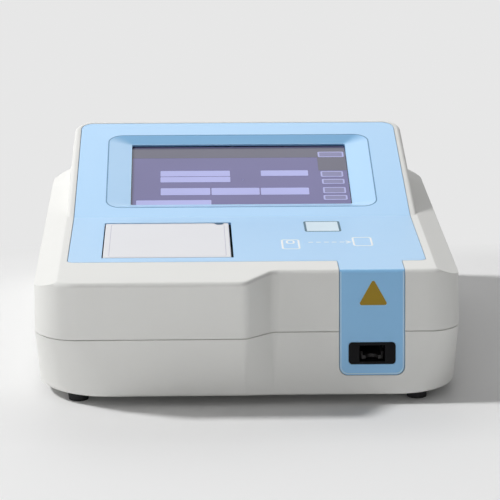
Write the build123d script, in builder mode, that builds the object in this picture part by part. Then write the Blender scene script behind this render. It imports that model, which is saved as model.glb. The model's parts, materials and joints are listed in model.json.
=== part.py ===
from build123d import *
import os
from math import atan2, cos, hypot, pi, radians, sin, tan

# Bench-top reader for fluorescence test cards. X runs to the right, Y to the back and Z up.
# The origin is the centre of the case's outline, on the bench. Lengths are in mm.

# Case
case_width = 274.0
case_depth = 333.0
foot_height = 6.0
base_height = 40.5
deck_height = 39.5
wall = 2.6
deck_wall = 3.4
side_draft_base = 1.5
side_draft_deck = 0.5
back_lean_deck = 2.0
left_corner_radius = 28.0
right_corner_radius = 21.0
corner_flare = 19.0
back_corner_radius = 18.0
edge_radius = 2.5
underside_steps = 4
part_line_gap = 0.5
part_line_depth = 0.9

# The left half stands forward of the right half, over the printer
bulge_depth = 29.0
bulge_end_x = -2.0
bulge_step_width = 18.0
bulge_crease_radius = 8.0
front_rake = 13.3
foot_step = 1.0

# Sloping flanks beside the deck, and the raised pod that holds the screen
flank_width = 16.0
flank_drop = 7.0
deck_length = 143.3
pod_length = 146.7
screen_tilt = 14.1
pod_side_lean = 1.8
pod_side_splay = 3.0
pod_corner_radius = 14.0
pod_edge_radius = 3.0

# Lip of the lower shell inside the upper one
lip_height = 3.0
lip_thickness = 1.4
lip_clearance = 0.25

# Blue fascia with its tongue over the front edge
fascia_thickness = 1.6
fascia_side_rim = 5.0
fascia_front_band = 23.0
fascia_rim = 4.2
fascia_front_radius = 5.0
fascia_back_radius = 9.0
fascia_taper = 1.4
fascia_gap = 0.35
tongue_width = 41.6
tongue_end_height = 13.0
tongue_corner_radius = 5.5
tongue_root_radius = 1.2

# Screen recess and display, measured along the tilted face
recess_width = 188.0
recess_height = 112.0
recess_radius = 10.0
recess_depth = 3.0
recess_lip = 0.6
recess_floor = 1.4
recess_centre = 70.65
window_width = 155.0
window_height = 94.0
window_radius = 1.2
gasket_thickness = 0.5
gasket_lap = 3.0
glass_width = 166.0
glass_height = 103.0
glass_thickness = 1.1
module_thickness = 5.5
module_rim = 12.0
module_tray_depth = 1.5
frame_rim = 20.0
frame_thickness = 1.2
frame_ear = 8.0
display_boss_radius = 4.0
display_boss_inset = 11.0

# Printer bay
door_width = 83.8
door_length = 90.3
door_inset = 43.3
door_setback = 34.7
door_thickness = 2.5
door_left_gap = 0.7
door_right_gap = 1.5
door_front_gap = 1.3
door_back_gap = 1.5
door_pin_radius = 1.25
door_pin_clearance = 0.06
door_pin_depth = 3.8
door_pin_setback = 3.0
door_swing_gap = 0.3
knuckle_radius = 2.6
knuckle_length = 12.0
notch_radius = 3.2
notch_inset = 6.6
bucket_wall = 2.0
bucket_gap = 0.3
bucket_flange = 5.0
bucket_flange_thickness = 2.0
bucket_screw_radius = 1.2
roll_radius = 24.0
roll_width = 57.0
roll_bore_radius = 9.0
core_wall = 1.6
roll_side_gap = 0.8
roll_setback = 24.8
roll_seat_gap = 0.3
well_radius = 26.0
well_drop = 32.5
mechanism_depth = 40.0

# Paper feed
platen_radius = 4.5
platen_shaft_radius = 2.0
platen_clearance = 0.06
platen_inset = 9.5
platen_drop = 7.7
arm_thickness = 2.0
arm_radius = 4.0
gear_module = 0.8
pinion_teeth = 10
idler_teeth = 20
gear_backlash = 0.3
tooth_overlap = 0.2
gear_width = 3.6
idler_stud_radius = 1.5
pinion_angle = 60.0
feed_motor_radius = 9.0
feed_motor_length = 14.0
motor_shaft_radius = 1.0
head_gap = 0.35
head_thickness = 1.0
head_rise = 2.0
head_reach = 10.0
head_sink_thickness = 2.0
print_frame_wall = 1.2
tear_bar_thickness = 0.8

# Card reader
slot_inset = 57.7
slot_rise = 26.8
bezel_width = 29.9
bezel_height = 13.9
bezel_radius = 2.2
bezel_proud = 0.7
bezel_edge = 0.4
bezel_sleeve = 9.0
sleeve_wall = 2.0
slot_width = 16.4
slot_height = 10.4
tray_width = 15.2
tray_height = 5.0
tray_length = 100.0
tray_setback = 2.5
card_width = 12.2
card_depth = 2.6
card_length = 84.0
rod_radius = 2.0
rod_spacing = 24.0
rod_clearance = 0.08
screw_radius = 2.0
screw_drop = 10.0
nut_radius = 4.0
nut_clearance = 0.3
nut_length = 10.0
reader_rise = 4.4
reader_plate = 2.0
reader_wall = 4.0
reader_side = 3.0
reader_setback = 18.3
reader_length = 172.0
slider_length = 14.0
optic_height = 24.0
optic_length = 40.0
optic_setback = 83.0
optic_bore_radius = 5.0
lamp_radius = 2.5
lens_radius = 8.0
lens_height = 3.0
reader_motor_size = 20.0
reader_motor_length = 22.0

# Boards
board_thickness = 1.6
board_rise = 7.4
main_board_width = 134.0
main_board_depth = 104.0
main_board_inset = 107.0
main_board_setback = 72.2
supply_width = 58.0
supply_depth = 76.0
supply_height = 26.0
supply_inset_x = 63.0
supply_inset = 60.5
boss_radius = 3.6
vent_width = 2.4
vent_length = 40.0
screw_shank = 1.5
screw_head = 2.8
screw_head_height = 1.8

# Rear plate with its sockets
plate_width = 186.0
plate_height = 30.0
plate_thickness = 1.5
plate_recess = 2.2
plate_inset = 113.0
plate_rise = 21.0
plate_lap = 4.0
inlet_inset = 29.0
inlet_width = 27.0
inlet_height = 19.8
inlet_depth = 18.0
inlet_flange = 2.0
inlet_wall = 2.0
inlet_floor = 3.0
pin_width = 2.0
pin_height = 4.0
inlet_pin_places = [(-7.0, -2.0), (7.0, -2.0), (0.0, 2.0)]
rocker_inset = 65.0
rocker_width = 10.4
rocker_height = 16.4
rocker_frame_width = 15.0
rocker_frame_height = 21.0
rocker_tilt = 7.0
rocker_pin_depth = 4.0
usb_inset = 105.0
usb_width = 14.4
usb_height = 14.6
network_inset = 133.0
network_width = 16.0
network_height = 13.6
socket_depth = 18.0
plug_width = 11.8
plug_height = 8.0
plug_low = 4.6
plug_depth = 12.0
latch_width = 6.0
latch_height = 1.6

# Feet and case screws
foot_radius = 7.0
foot_taper = 0.7
foot_socket = 1.2
foot_inset_x = 27.5
front_foot_inset = 18.0
back_foot_inset = 27.5
column_radius = 5.0
column_inset_x = 25.0
column_front_inset = 25.5
column_back_inset = 44.5

# Heights and places that follow from the sizes above
shell_bottom = foot_height
parting_z = shell_bottom + base_height
deck_z = parting_z + deck_height
bulge_lean = atan2(bulge_depth - front_rake, base_height + deck_height)
# The rounding takes a little off the leaning front edge, so its corner stands further out
rounding_loss = edge_radius * ((1 + sin(bulge_lean)) / cos(bulge_lean) - 1)
bulge_y = -case_depth / 2 - rounding_loss
deck_y = bulge_y + bulge_depth
foot_y = deck_y - front_rake
back_y = case_depth / 2
deck_back_y = back_y - back_lean_deck
kink_y = deck_y + deck_length
pod_top_y = kink_y + pod_length
pod_top_z = deck_z + pod_length * tan(radians(screen_tilt))
pod_back_lean = deck_back_y - pod_top_y
deck_half = case_width / 2 - flank_width
inner_floor = shell_bottom + wall
ceiling_z = deck_z - deck_wall
tongue_end_z = shell_bottom + tongue_end_height
door_front = deck_y + door_setback
roll_y = door_front + roll_setback
case_half = case_width / 2
fascia_width = 2 * (deck_half - fascia_side_rim)
door_left = door_inset - case_half
roll_x = door_left + door_width / 2
slot_x = case_half - slot_inset
main_board_x = main_board_inset - case_half
supply_x = case_half - supply_inset_x
plate_x = case_half - plate_inset
plate_right = plate_x + plate_width / 2
inlet_x = plate_right - inlet_inset
rocker_x = plate_right - rocker_inset
usb_x = plate_right - usb_inset
network_x = plate_right - network_inset
well_z = deck_z - well_drop
mechanism_floor = deck_z - mechanism_depth
platen_y = door_front + door_length - platen_inset
slot_z = shell_bottom + slot_rise
reader_floor_z = inner_floor + reader_rise
board_z = inner_floor + board_rise
main_board_y = kink_y + main_board_setback
supply_y = back_y - supply_inset
plate_z = shell_bottom + plate_rise


def box(x, y, z, mode=Mode.ADD):
    # A box between two values on each axis
    with Locations(((x[0] + x[1]) / 2, (y[0] + y[1]) / 2, (z[0] + z[1]) / 2)):
        Box(x[1] - x[0], y[1] - y[0], z[1] - z[0], mode=mode)


def around(centre, width):
    return centre - width / 2, centre + width / 2


def rod_x(y, z, radius, start, end, mode=Mode.ADD):
    with BuildSketch(Plane.YZ.offset(start)) as disc:
        with Locations((y, z)):
            Circle(radius)
    extrude(disc.sketch, amount=end - start, mode=mode)


def rod_y(x, z, radius, start, end, mode=Mode.ADD):
    with BuildSketch(Plane.XZ.offset(-end)) as disc:
        with Locations((x, z)):
            Circle(radius)
    extrude(disc.sketch, amount=end - start, mode=mode)


def rod_z(x, y, radius, start, end, mode=Mode.ADD):
    with BuildSketch(Plane.XY.offset(start)) as disc:
        with Locations((x, y)):
            Circle(radius)
    extrude(disc.sketch, amount=end - start, mode=mode)


def slab(plane, width, height, low, high, radius=0.0, mode=Mode.ADD):
    # A rounded rectangle centred on a plane, from one distance along its normal to another
    with BuildSketch(plane.offset(low)) as face:
        if radius:
            RectangleRounded(width, height, radius)
        else:
            Rectangle(width, height)
    extrude(face.sketch, amount=high - low, mode=mode)


def profile_x(points, start, end, mode=Mode.ADD):
    # A side profile, given as (y, z) points, carried across the object
    with BuildSketch(Plane.YZ.offset(start)) as profile:
        with BuildLine():
            Polyline(*points, close=True)
        make_face()
    extrude(profile.sketch, amount=end - start, mode=mode)


def save(piece, name):
    piece.part.label = name
    export_step(piece.part, f"parts/{name}.step")


os.makedirs("parts", exist_ok=True)

# Planes that several pieces share

left_front_rake = (bulge_y - foot_y) / (deck_z - shell_bottom)
right_front_rake = (deck_y - foot_y - foot_step) / (deck_z - shell_bottom)


def left_front(z):
    return foot_y + left_front_rake * (z - shell_bottom)


def right_front(z):
    return foot_y + foot_step + right_front_rake * (z - shell_bottom)


rake_angle = atan2(deck_y - foot_y - foot_step, deck_z - shell_bottom)
tilt = radians(screen_tilt)
flank_angle = atan2(flank_drop, flank_width)
screen_plane = Plane(
    origin=(0, kink_y, deck_z), x_dir=(1, 0, 0), z_dir=(0, -sin(tilt), cos(tilt))
)
screen_centre = Plane(
    origin=(0, kink_y + recess_centre * cos(tilt), deck_z + recess_centre * sin(tilt)),
    x_dir=(1, 0, 0),
    z_dir=(0, -sin(tilt), cos(tilt)),
)
slot_face = Plane(
    origin=(slot_x, right_front(slot_z), slot_z),
    x_dir=(1, 0, 0),
    z_dir=(0, -cos(rake_angle), sin(rake_angle)),
)
flank_planes = [
    Plane(origin=(side * deck_half, 0, deck_z), z_dir=(side * sin(flank_angle), 0, cos(flank_angle)))
    for side in (-1, 1)
]
pod_back_angle = atan2(pod_back_lean, pod_top_z - deck_z)
pod_back_plane = Plane(
    origin=(0, deck_back_y, deck_z), z_dir=(0, cos(pod_back_angle), sin(pod_back_angle))
)


def pod_side_plane(side):
    # Through the deck's edge at the kink, the pod's top corner and the flank at the back
    start = Vector(side * deck_half, kink_y, deck_z)
    top = Vector(side * (deck_half - pod_side_lean), pod_top_y, pod_top_z)
    foot = Vector(
        side * (deck_half + pod_side_splay),
        pod_top_y,
        deck_z - pod_side_splay * flank_drop / flank_width,
    )
    normal = (top - start).cross(foot - start)
    if normal.X * side < 0:
        normal = -normal
    return Plane(origin=start, z_dir=normal)


def case_outline(z, inset):
    # Plan of the case at a height, its walls moved inwards by the inset.
    # The front corners open out towards the bench.
    if z <= parting_z:
        share = (parting_z - z) / base_height
        half = case_width / 2 - side_draft_base * share - inset
        back = back_y - inset
        flare = corner_flare * share
    else:
        share = (z - parting_z) / deck_height
        half = case_width / 2 - side_draft_deck * share - inset
        back = back_y - back_lean_deck * share - inset
        flare = 0
    left = left_front(z) + inset
    right = right_front(z) + inset
    step = atan2(right - left, bulge_step_width)
    shift = inset * tan(step / 2)
    points = [
        (-half, back),
        (-half, left),
        (bulge_end_x - shift, left),
        (bulge_end_x + bulge_step_width - shift, right),
        (half, right),
        (half, back),
    ]
    radii = [
        back_corner_radius - inset,
        left_corner_radius + flare - inset,
        bulge_crease_radius - inset,
        bulge_crease_radius + inset,
        right_corner_radius + flare - inset,
        back_corner_radius - inset,
    ]
    with BuildSketch(Plane.XY.offset(z)) as outline:
        with BuildLine():
            FilletPolyline(*points, radius=radii, close=True)
        make_face()
    return outline.sketch


def case_block(low, high, inset, mode=Mode.ADD):
    loft([case_outline(low, inset), case_outline(high, inset)], ruled=True, mode=mode)


def case_underside(radius):
    # Rounded foot of the walls, in bands that follow a quarter circle
    turns = [pi / 2 * number / underside_steps for number in range(underside_steps + 1)]
    bands = [
        case_outline(shell_bottom + radius * (1 - cos(turn)), radius * (1 - sin(turn)))
        for turn in turns
    ]
    for low, high in zip(bands, bands[1:]):
        loft([low, high], ruled=True)


def case_ring(low, high, outer, inner):
    # A band that follows the case's walls between two insets
    with BuildPart() as ring:
        case_block(low, high, outer)
        case_block(low, high, inner, mode=Mode.SUBTRACT)
    return ring.part


def trim(planes, inset):
    for plane in planes:
        split(bisect_by=plane.offset(-inset), keep=Keep.BOTTOM)


def deck_form(inset, ceiling, rounded):
    # The upper case as a solid: deck, flanks and pod, its walls moved inwards
    with BuildPart() as form:
        case_block(parting_z, deck_z - ceiling, inset)
        trim(flank_planes, inset if inset == 0 else ceiling)
        if rounded:
            top_edges = form.faces().sort_by(Axis.Z)[-1].edges()
            rim = top_edges.filter_by(lambda e: e.center().Y < deck_back_y - edge_radius)
            fillet(rim, edge_radius)
    return form.part


def pod_form(inset, ceiling, rounded):
    # The raised pod that holds the screen
    low_z = parting_z + base_height / 2
    with BuildPart() as form:
        box((-case_half, case_half), (kink_y, deck_back_y - inset), (low_z, pod_top_z + ceiling))
        trim([pod_side_plane(-1), pod_side_plane(1), pod_back_plane], inset)
        trim([screen_plane], ceiling)
        upright = form.edges().filter_by(lambda e: e.center().Y > kink_y + pod_length * 0.8)
        upright = upright.filter_by(lambda e: abs((e @ 0).Z - (e @ 1).Z) > wall * 4)
        fillet(upright, pod_corner_radius - inset)
        if rounded:
            top = form.faces().filter_by(lambda f: f.normal_at().dot(screen_plane.z_dir) > 0.999)
            rim = top.edges().filter_by(lambda e: e.center().Y > kink_y + edge_radius)
            fillet(rim, pod_edge_radius)
    return form.part


def fascia_outline_x():
    # Left and right edges of the tongue, centred over the card slot
    return around(slot_x, tongue_width)


def tongue_points(thickness, start_y, end_z, lift=0.0):
    # Side profile of the strip that bends over the front edge, its outer face on the case
    slope = (1 - sin(rake_angle)) / cos(rake_angle)
    inner_x = thickness / cos(rake_angle)
    return [
        (start_y, deck_z + lift),
        (deck_y - lift * slope, deck_z + lift),
        (right_front(end_z) - lift / cos(rake_angle), end_z),
        (right_front(end_z) + inner_x, end_z),
        (deck_y + thickness * slope, deck_z - thickness),
        (start_y, deck_z - thickness),
    ]


def fascia_form(gap, lift):
    # The fascia and its tongue as a bent sheet, widened by a gap all round
    half = fascia_width / 2 + gap
    front = deck_y + fascia_front_band - gap
    back = (pod_length - fascia_rim) / cos(tilt) + gap
    far_half = half - fascia_taper
    thickness = fascia_thickness
    with BuildPart() as deck_sheet:
        box((-half, half), (front, kink_y), (deck_z - thickness, deck_z + lift))
        uprights = deck_sheet.edges().filter_by(Axis.Z).group_by(Axis.Y)[0]
        fillet(uprights, fascia_front_radius)
    with BuildPart() as screen_sheet:
        with BuildSketch(screen_plane.offset(-thickness)) as face:
            with BuildLine():
                Polyline((-half, 0), (half, 0), (far_half, back), (-far_half, back), close=True)
            make_face()
        extrude(face.sketch, amount=thickness + lift)
        far = screen_sheet.edges().filter_by(lambda e: abs(e.length - thickness - lift) < 1e-3)
        fillet(far.group_by(Axis.Y)[-1], fascia_back_radius)
    with BuildPart() as tongue:
        left, right = fascia_outline_x()
        points = tongue_points(thickness, front + fascia_back_radius, tongue_end_z - gap, lift)
        profile_x(points, left - gap, right + gap)
        across = tongue.edges().filter_by(Axis.X)
        bend = across.filter_by(lambda e: abs(e.center().Y - deck_y) < 2 * thickness)
        bend = bend.filter_by(lambda e: e.center().Z > deck_z - 2 * thickness)
        fillet(bend.sort_by(Axis.Z)[-1], edge_radius + lift)
        across = tongue.edges().filter_by(Axis.X)
        low = across.sort_by(Axis.Z)[:2]
        low_z = low[0].center().Z + wall
        low_edges = tongue.edges().filter_by(lambda e: e.center().Z < low_z)
        short = low_edges.filter_by(lambda e: e.length < 2 * thickness + lift)
        fillet(short, tongue_corner_radius)
    with BuildPart() as form:
        add(deck_sheet.part)
        add(screen_sheet.part)
        add(tongue.part)
        # The wedge left open between the two sheets at the kink
        profile_x(
            [
                (kink_y, deck_z - thickness),
                (kink_y + thickness * sin(tilt), deck_z - thickness * cos(tilt)),
                (kink_y, deck_z),
            ],
            -half,
            half,
        )
        roots = form.edges().filter_by(Axis.Z).filter_by(lambda e: abs(e.center().Y - front) < 1e-3)
        roots = roots.filter_by(lambda e: abs(abs(e.center().X - slot_x) - tongue_width / 2 - gap) < 1e-3)
        fillet(roots, tongue_root_radius)
    return form.part


bay_x = (door_left - door_left_gap, door_left + door_width + door_right_gap)
bay_y = (door_front - door_front_gap, door_front + door_length + door_back_gap)
bucket_x = (bay_x[0] - bucket_wall, bay_x[1] + bucket_wall)
bucket_y = (bay_y[0] - bucket_wall, bay_y[1] + bucket_wall)


def corners(x, y, inset):
    return [(a, b) for a in (x[0] + inset, x[1] - inset) for b in (y[0] + inset, y[1] - inset)]


bucket_screw_places = corners(
    (bucket_x[0] - bucket_flange, bucket_x[1] + bucket_flange),
    (bucket_y[0] - bucket_flange, bucket_y[1] + bucket_flange),
    bucket_flange / 2,
)

with BuildPart() as top_fascia:
    add(fascia_form(0, 0))
    slab(
        screen_centre,
        recess_width + 2 * recess_floor,
        recess_height + 2 * recess_floor,
        -recess_depth - recess_floor,
        -fascia_thickness / 2,
        recess_radius + recess_floor,
    )
    with BuildSketch(screen_centre) as recess_top:
        RectangleRounded(recess_width, recess_height, recess_radius)
    with BuildSketch(screen_centre.offset(-recess_depth)) as recess_low:
        RectangleRounded(
            window_width + 2 * recess_lip,
            window_height + 2 * recess_lip,
            window_radius + recess_lip,
        )
    loft([recess_top.sketch, recess_low.sketch], ruled=True, mode=Mode.SUBTRACT)
    slab(
        screen_centre,
        window_width,
        window_height,
        -2 * recess_depth,
        0,
        window_radius,
        mode=Mode.SUBTRACT,
    )
    box(bay_x, bay_y, (deck_z - 2 * fascia_thickness, deck_z + 1), mode=Mode.SUBTRACT)
    slab(
        slot_face,
        bezel_width + fascia_gap,
        bezel_height + fascia_gap,
        -2 * fascia_thickness,
        fascia_thickness,
        bezel_radius,
        mode=Mode.SUBTRACT,
    )
save(top_fascia, "top_fascia")

# Corner columns that the case screws run through
column_x = case_width / 2 - column_inset_x
column_y_places = (deck_y + column_front_inset, back_y - column_back_inset)
column_places = [(side * column_x, y) for side in (-1, 1) for y in column_y_places]
foot_x = case_width / 2 - foot_inset_x
foot_y_places = (foot_y + front_foot_inset, back_y - back_foot_inset)
foot_places = [(side * foot_x, y) for side in (-1, 1) for y in foot_y_places]
fascia_cut = fascia_form(fascia_gap, fascia_thickness)


def column_top(y):
    # Just inside the ceiling, which rises behind the kink
    return ceiling_z + deck_wall / 2 + max(0, y - kink_y) * tan(tilt)


display_boss_places = [
    (side * (recess_width / 2 + display_boss_inset), end * recess_height / 3)
    for side in (-1, 1)
    for end in (-1, 1)
]
glass_top = recess_depth + recess_floor + gasket_thickness
module_top = glass_top + glass_thickness
module_back = module_top + module_thickness

with BuildPart() as upper_shell:
    add(deck_form(0, 0, True))
    add(pod_form(0, 0, True))
    add(case_ring(parting_z, parting_z + part_line_gap, -wall, part_line_depth), mode=Mode.SUBTRACT)
    add(deck_form(wall, deck_wall, False), mode=Mode.SUBTRACT)
    add(pod_form(wall, deck_wall, False), mode=Mode.SUBTRACT)
    for x, y in column_places:
        rod_z(x, y, column_radius, parting_z, column_top(y))
        rod_z(x, y, screw_shank, parting_z, ceiling_z - 2 * deck_wall, mode=Mode.SUBTRACT)
    add(fascia_cut, mode=Mode.SUBTRACT)
    slab(
        screen_centre,
        recess_width + 2 * (recess_floor + fascia_gap),
        recess_height + 2 * (recess_floor + fascia_gap),
        -2 * deck_wall,
        0,
        recess_radius + recess_floor,
        mode=Mode.SUBTRACT,
    )
    box(
        (bucket_x[0] - bucket_gap, bucket_x[1] + bucket_gap),
        (bucket_y[0] - bucket_gap, bucket_y[1] + bucket_gap),
        (ceiling_z - 1, deck_z + 1),
        mode=Mode.SUBTRACT,
    )
    for x, y in bucket_screw_places:
        rod_z(x, y, bucket_screw_radius, ceiling_z - 1, ceiling_z + 1.5, mode=Mode.SUBTRACT)
    for x, y in display_boss_places:
        with BuildSketch(screen_centre.offset(-module_back)) as boss:
            with Locations((x, y)):
                Circle(display_boss_radius)
        extrude(boss.sketch, amount=module_back - deck_wall + 1)
        with BuildSketch(screen_centre.offset(-module_back)) as pilot:
            with Locations((x, y)):
                Circle(screw_shank)
        extrude(pilot.sketch, amount=module_thickness, mode=Mode.SUBTRACT)
save(upper_shell, "upper_shell")

reader_front = right_front(slot_z) + reader_setback
reader_back = reader_front + reader_length
optic_y = reader_front + optic_setback
tray_x = around(slot_x, tray_width)
tray_bottom = slot_z - slot_height / 2 + 0.6
tray_front = right_front(slot_z) + tray_setback
rod_z_height = tray_bottom + tray_height / 2
screw_z = tray_bottom + tray_height / 2 - screw_drop
rod_x_places = (slot_x - rod_spacing / 2, slot_x + rod_spacing / 2)
slider_x = (rod_x_places[0] - 2 * rod_radius, rod_x_places[1] + 2 * rod_radius)
reader_x = (slider_x[0] - 2.0 - reader_side, slider_x[1] + 2.0 + reader_side)
main_x = around(main_board_x, main_board_width)
main_y = around(main_board_y, main_board_depth)
supply_x_span = around(supply_x, supply_width)
supply_y_span = around(supply_y, supply_depth)

main_bosses = corners(main_x, main_y, 5.0)
supply_bosses = corners(supply_x_span, supply_y_span, 5.0)
reader_bosses = corners(reader_x, (reader_front + 6.0, reader_back - 6.0), 4.0)

plate_y = (back_y - plate_recess - plate_thickness, back_y - plate_recess)
plate_screw_places = corners(
    around(plate_x, plate_width), around(plate_z, plate_height), plate_lap * 0.75
)

with BuildPart() as base_shell:
    case_block(shell_bottom + edge_radius, parting_z, 0)
    case_underside(edge_radius)
    case_block(inner_floor, parting_z, wall, mode=Mode.SUBTRACT)
    lip_inset = wall + lip_clearance
    add(case_ring(parting_z - 2 * lip_height, parting_z, wall - 1, lip_inset + lip_thickness))
    add(case_ring(parting_z, parting_z + lip_height, lip_inset, lip_inset + lip_thickness))
    for x, y in column_places:
        rod_z(x, y, column_radius, shell_bottom, parting_z)
        rod_z(x, y, screw_shank + part_line_gap / 2, shell_bottom, parting_z, mode=Mode.SUBTRACT)
        rod_z(x, y, screw_head + part_line_gap, shell_bottom, inner_floor, mode=Mode.SUBTRACT)
    for x, y in foot_places:
        rod_z(x, y, foot_radius + foot_socket, inner_floor, inner_floor + foot_socket)
        rod_z(x, y, foot_radius, shell_bottom, shell_bottom + foot_socket, mode=Mode.SUBTRACT)
    for x, y in main_bosses + supply_bosses:
        rod_z(x, y, boss_radius, inner_floor, board_z)
        rod_z(x, y, screw_shank, inner_floor, board_z, mode=Mode.SUBTRACT)
    for x, y in reader_bosses:
        rod_z(x, y, boss_radius, inner_floor, reader_floor_z)
        rod_z(x, y, screw_shank, inner_floor, reader_floor_z, mode=Mode.SUBTRACT)
    # Recess for the tongue and the hole for the slot bezel's sleeve
    add(fascia_cut, mode=Mode.SUBTRACT)
    slab(
        slot_face,
        slot_width + 2 * sleeve_wall + fascia_gap,
        slot_height + 2 * sleeve_wall + fascia_gap,
        -3 * wall,
        0,
        bezel_radius,
        mode=Mode.SUBTRACT,
    )
    # Seat and window for the rear plate
    pad_x = around(plate_x, plate_width + 2 * plate_lap)
    pad_z = (inner_floor, plate_z + plate_height / 2 + plate_lap / 2)
    box(pad_x, (plate_y[0] - plate_lap, back_y - wall / 2), pad_z)
    box(
        around(plate_x, plate_width + fascia_gap),
        (plate_y[0], back_y + 1),
        around(plate_z, plate_height + fascia_gap),
        mode=Mode.SUBTRACT,
    )
    box(
        around(plate_x, plate_width - 2 * plate_lap),
        (plate_y[0] - 2 * plate_lap, back_y),
        around(plate_z, plate_height - 2 * plate_lap),
        mode=Mode.SUBTRACT,
    )
    for x, z in plate_screw_places:
        rod_y(x, z, screw_shank, plate_y[0] - 0.8 * plate_lap, back_y, mode=Mode.SUBTRACT)
    # Air slots under the boards
    with Locations((main_board_x, main_board_y, shell_bottom)):
        with GridLocations(12, 0, 7, 1):
            Box(vent_width, vent_length, 4 * wall, mode=Mode.SUBTRACT)
save(base_shell, "base_shell")


with BuildPart() as rubber_feet:
    for x, y in foot_places:
        with BuildSketch(Plane.XY) as tread:
            with Locations((x, y)):
                Circle(foot_radius - foot_taper)
        with BuildSketch(Plane.XY.offset(shell_bottom)) as shoulder:
            with Locations((x, y)):
                Circle(foot_radius)
        loft([tread.sketch, shoulder.sketch], ruled=True)
        rod_z(x, y, foot_radius, shell_bottom, shell_bottom + foot_socket)
save(rubber_feet, "rubber_feet")

with BuildPart() as case_screws:
    for x, y in column_places:
        head_z = inner_floor - screw_head_height
        rod_z(x, y, screw_head, head_z, inner_floor)
        rod_z(x, y, screw_shank - 0.05, inner_floor, parting_z + 2 * deck_wall)
        rod_z(x, y, screw_head / 3, head_z, head_z + screw_head_height / 2, mode=Mode.SUBTRACT)
save(case_screws, "case_screws")

# Display stack, from the glass backwards


def display_plate(width, height, front, back, radius=1.0, mode=Mode.ADD):
    slab(screen_centre, width, height, -back, -front, radius, mode=mode)


with BuildPart() as display_gasket:
    front = recess_depth + recess_floor
    display_plate(window_width + 4 * gasket_lap, window_height + 3 * gasket_lap, front, glass_top)
    opening = (window_width + gasket_lap, window_height + gasket_lap)
    display_plate(*opening, front, glass_top, mode=Mode.SUBTRACT)
save(display_gasket, "display_gasket")

with BuildPart() as touch_glass:
    display_plate(glass_width, glass_height, glass_top, module_top, 1.5)
save(touch_glass, "touch_glass")

with BuildPart() as display_module:
    display_plate(glass_width, glass_height, module_top, module_back)
    tray = (glass_width - 2 * module_rim, glass_height - 2 * module_rim)
    display_plate(*tray, module_back - module_tray_depth, module_back, mode=Mode.SUBTRACT)
save(display_module, "display_module")

with BuildPart() as display_frame:
    frame_width = recess_width + 2 * display_boss_inset + frame_ear
    back = module_back + frame_thickness
    display_plate(frame_width, recess_height * 2 / 3 + frame_ear, module_back, back, 3.0)
    opening = (glass_width - 2 * frame_rim, glass_height - 2 * frame_rim)
    display_plate(*opening, module_back, back, 3.0, mode=Mode.SUBTRACT)
    for x, y in display_boss_places:
        with BuildSketch(screen_centre.offset(-back)) as hole:
            with Locations((x, y)):
                Circle(screw_shank + 0.2)
        extrude(hole.sketch, amount=2 * frame_thickness, mode=Mode.SUBTRACT)
save(display_frame, "display_frame")

with BuildPart() as display_screws:
    for x, y in display_boss_places:
        with BuildSketch(screen_centre.offset(-back - screw_head_height)) as head:
            with Locations((x, y)):
                Circle(screw_head)
        extrude(head.sketch, amount=screw_head_height)
        with BuildSketch(screen_centre.offset(-back)) as shank:
            with Locations((x, y)):
                Circle(screw_shank - 0.05)
        extrude(shank.sketch, amount=frame_thickness + module_thickness - 1)
save(display_screws, "display_screws")

# Printer: the door hinges at its front edge on a pin carried by the bucket's walls

door_top = deck_z
door_x = (door_left, door_left + door_width)
door_y = (door_front, door_front + door_length)
hinge_y = door_front + door_pin_setback
hinge_z = door_top - door_pin_depth
door_swing_radius = hypot(door_pin_setback, door_pin_depth) + door_swing_gap
platen_z = deck_z - platen_drop
roll_x_span = around(roll_x, roll_width)
roll_z = well_z - (well_radius - roll_radius - roll_seat_gap)
well_x = around(roll_x, roll_width + 2 * roll_side_gap)
arm_x_places = (roll_x_span[0] - arm_thickness - 1.5, roll_x_span[1] + 1.5)
knuckle_x_places = (door_x[0] + 2.0, door_x[1] - 2.0 - knuckle_length)

with BuildPart() as printer_door:
    box(door_x, door_y, (door_top - door_thickness, door_top))
    corner = printer_door.edges().filter_by(Axis.Z)
    fillet(corner, 1.2)
    fillet(printer_door.faces().sort_by(Axis.Z)[-1].edges(), 0.6)
    # Knuckles round the hinge pin
    for x in knuckle_x_places:
        rod_x(hinge_y, hinge_z, knuckle_radius, x, x + knuckle_length)
        box((x, x + knuckle_length), (hinge_y, hinge_y + knuckle_radius), (hinge_z, door_top - 1))
        bore = door_pin_radius + door_pin_clearance
        rod_x(hinge_y, hinge_z, bore, x, x + knuckle_length, mode=Mode.SUBTRACT)
    # Arms that carry the platen
    for x in arm_x_places:
        box((x, x + arm_thickness), around(platen_y, 2 * arm_radius), (platen_z, door_top - 1))
        rod_x(platen_y, platen_z, arm_radius, x, x + arm_thickness)
        bore = platen_shaft_radius + platen_clearance
        rod_x(platen_y, platen_z, bore, x, x + arm_thickness, mode=Mode.SUBTRACT)
    # Finger notch at the far right corner
    notch_y = door_y[1] - notch_radius / 2
    rod_z(door_x[1] - notch_inset, notch_y, notch_radius, hinge_z, door_top, mode=Mode.SUBTRACT)
save(printer_door, "printer_door")

with BuildPart() as door_hinge_pin:
    rod_x(hinge_y, hinge_z, door_pin_radius, bucket_x[0] + 0.5, bucket_x[1] - 0.5)
save(door_hinge_pin, "door_hinge_pin")

bucket_top = deck_z - fascia_thickness - 0.2
flange_top = ceiling_z
bay_inner = (bay_x[0], bay_x[1])
divider_y = roll_y + well_radius
mech_y = (divider_y + bucket_wall, bay_y[1])

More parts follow.
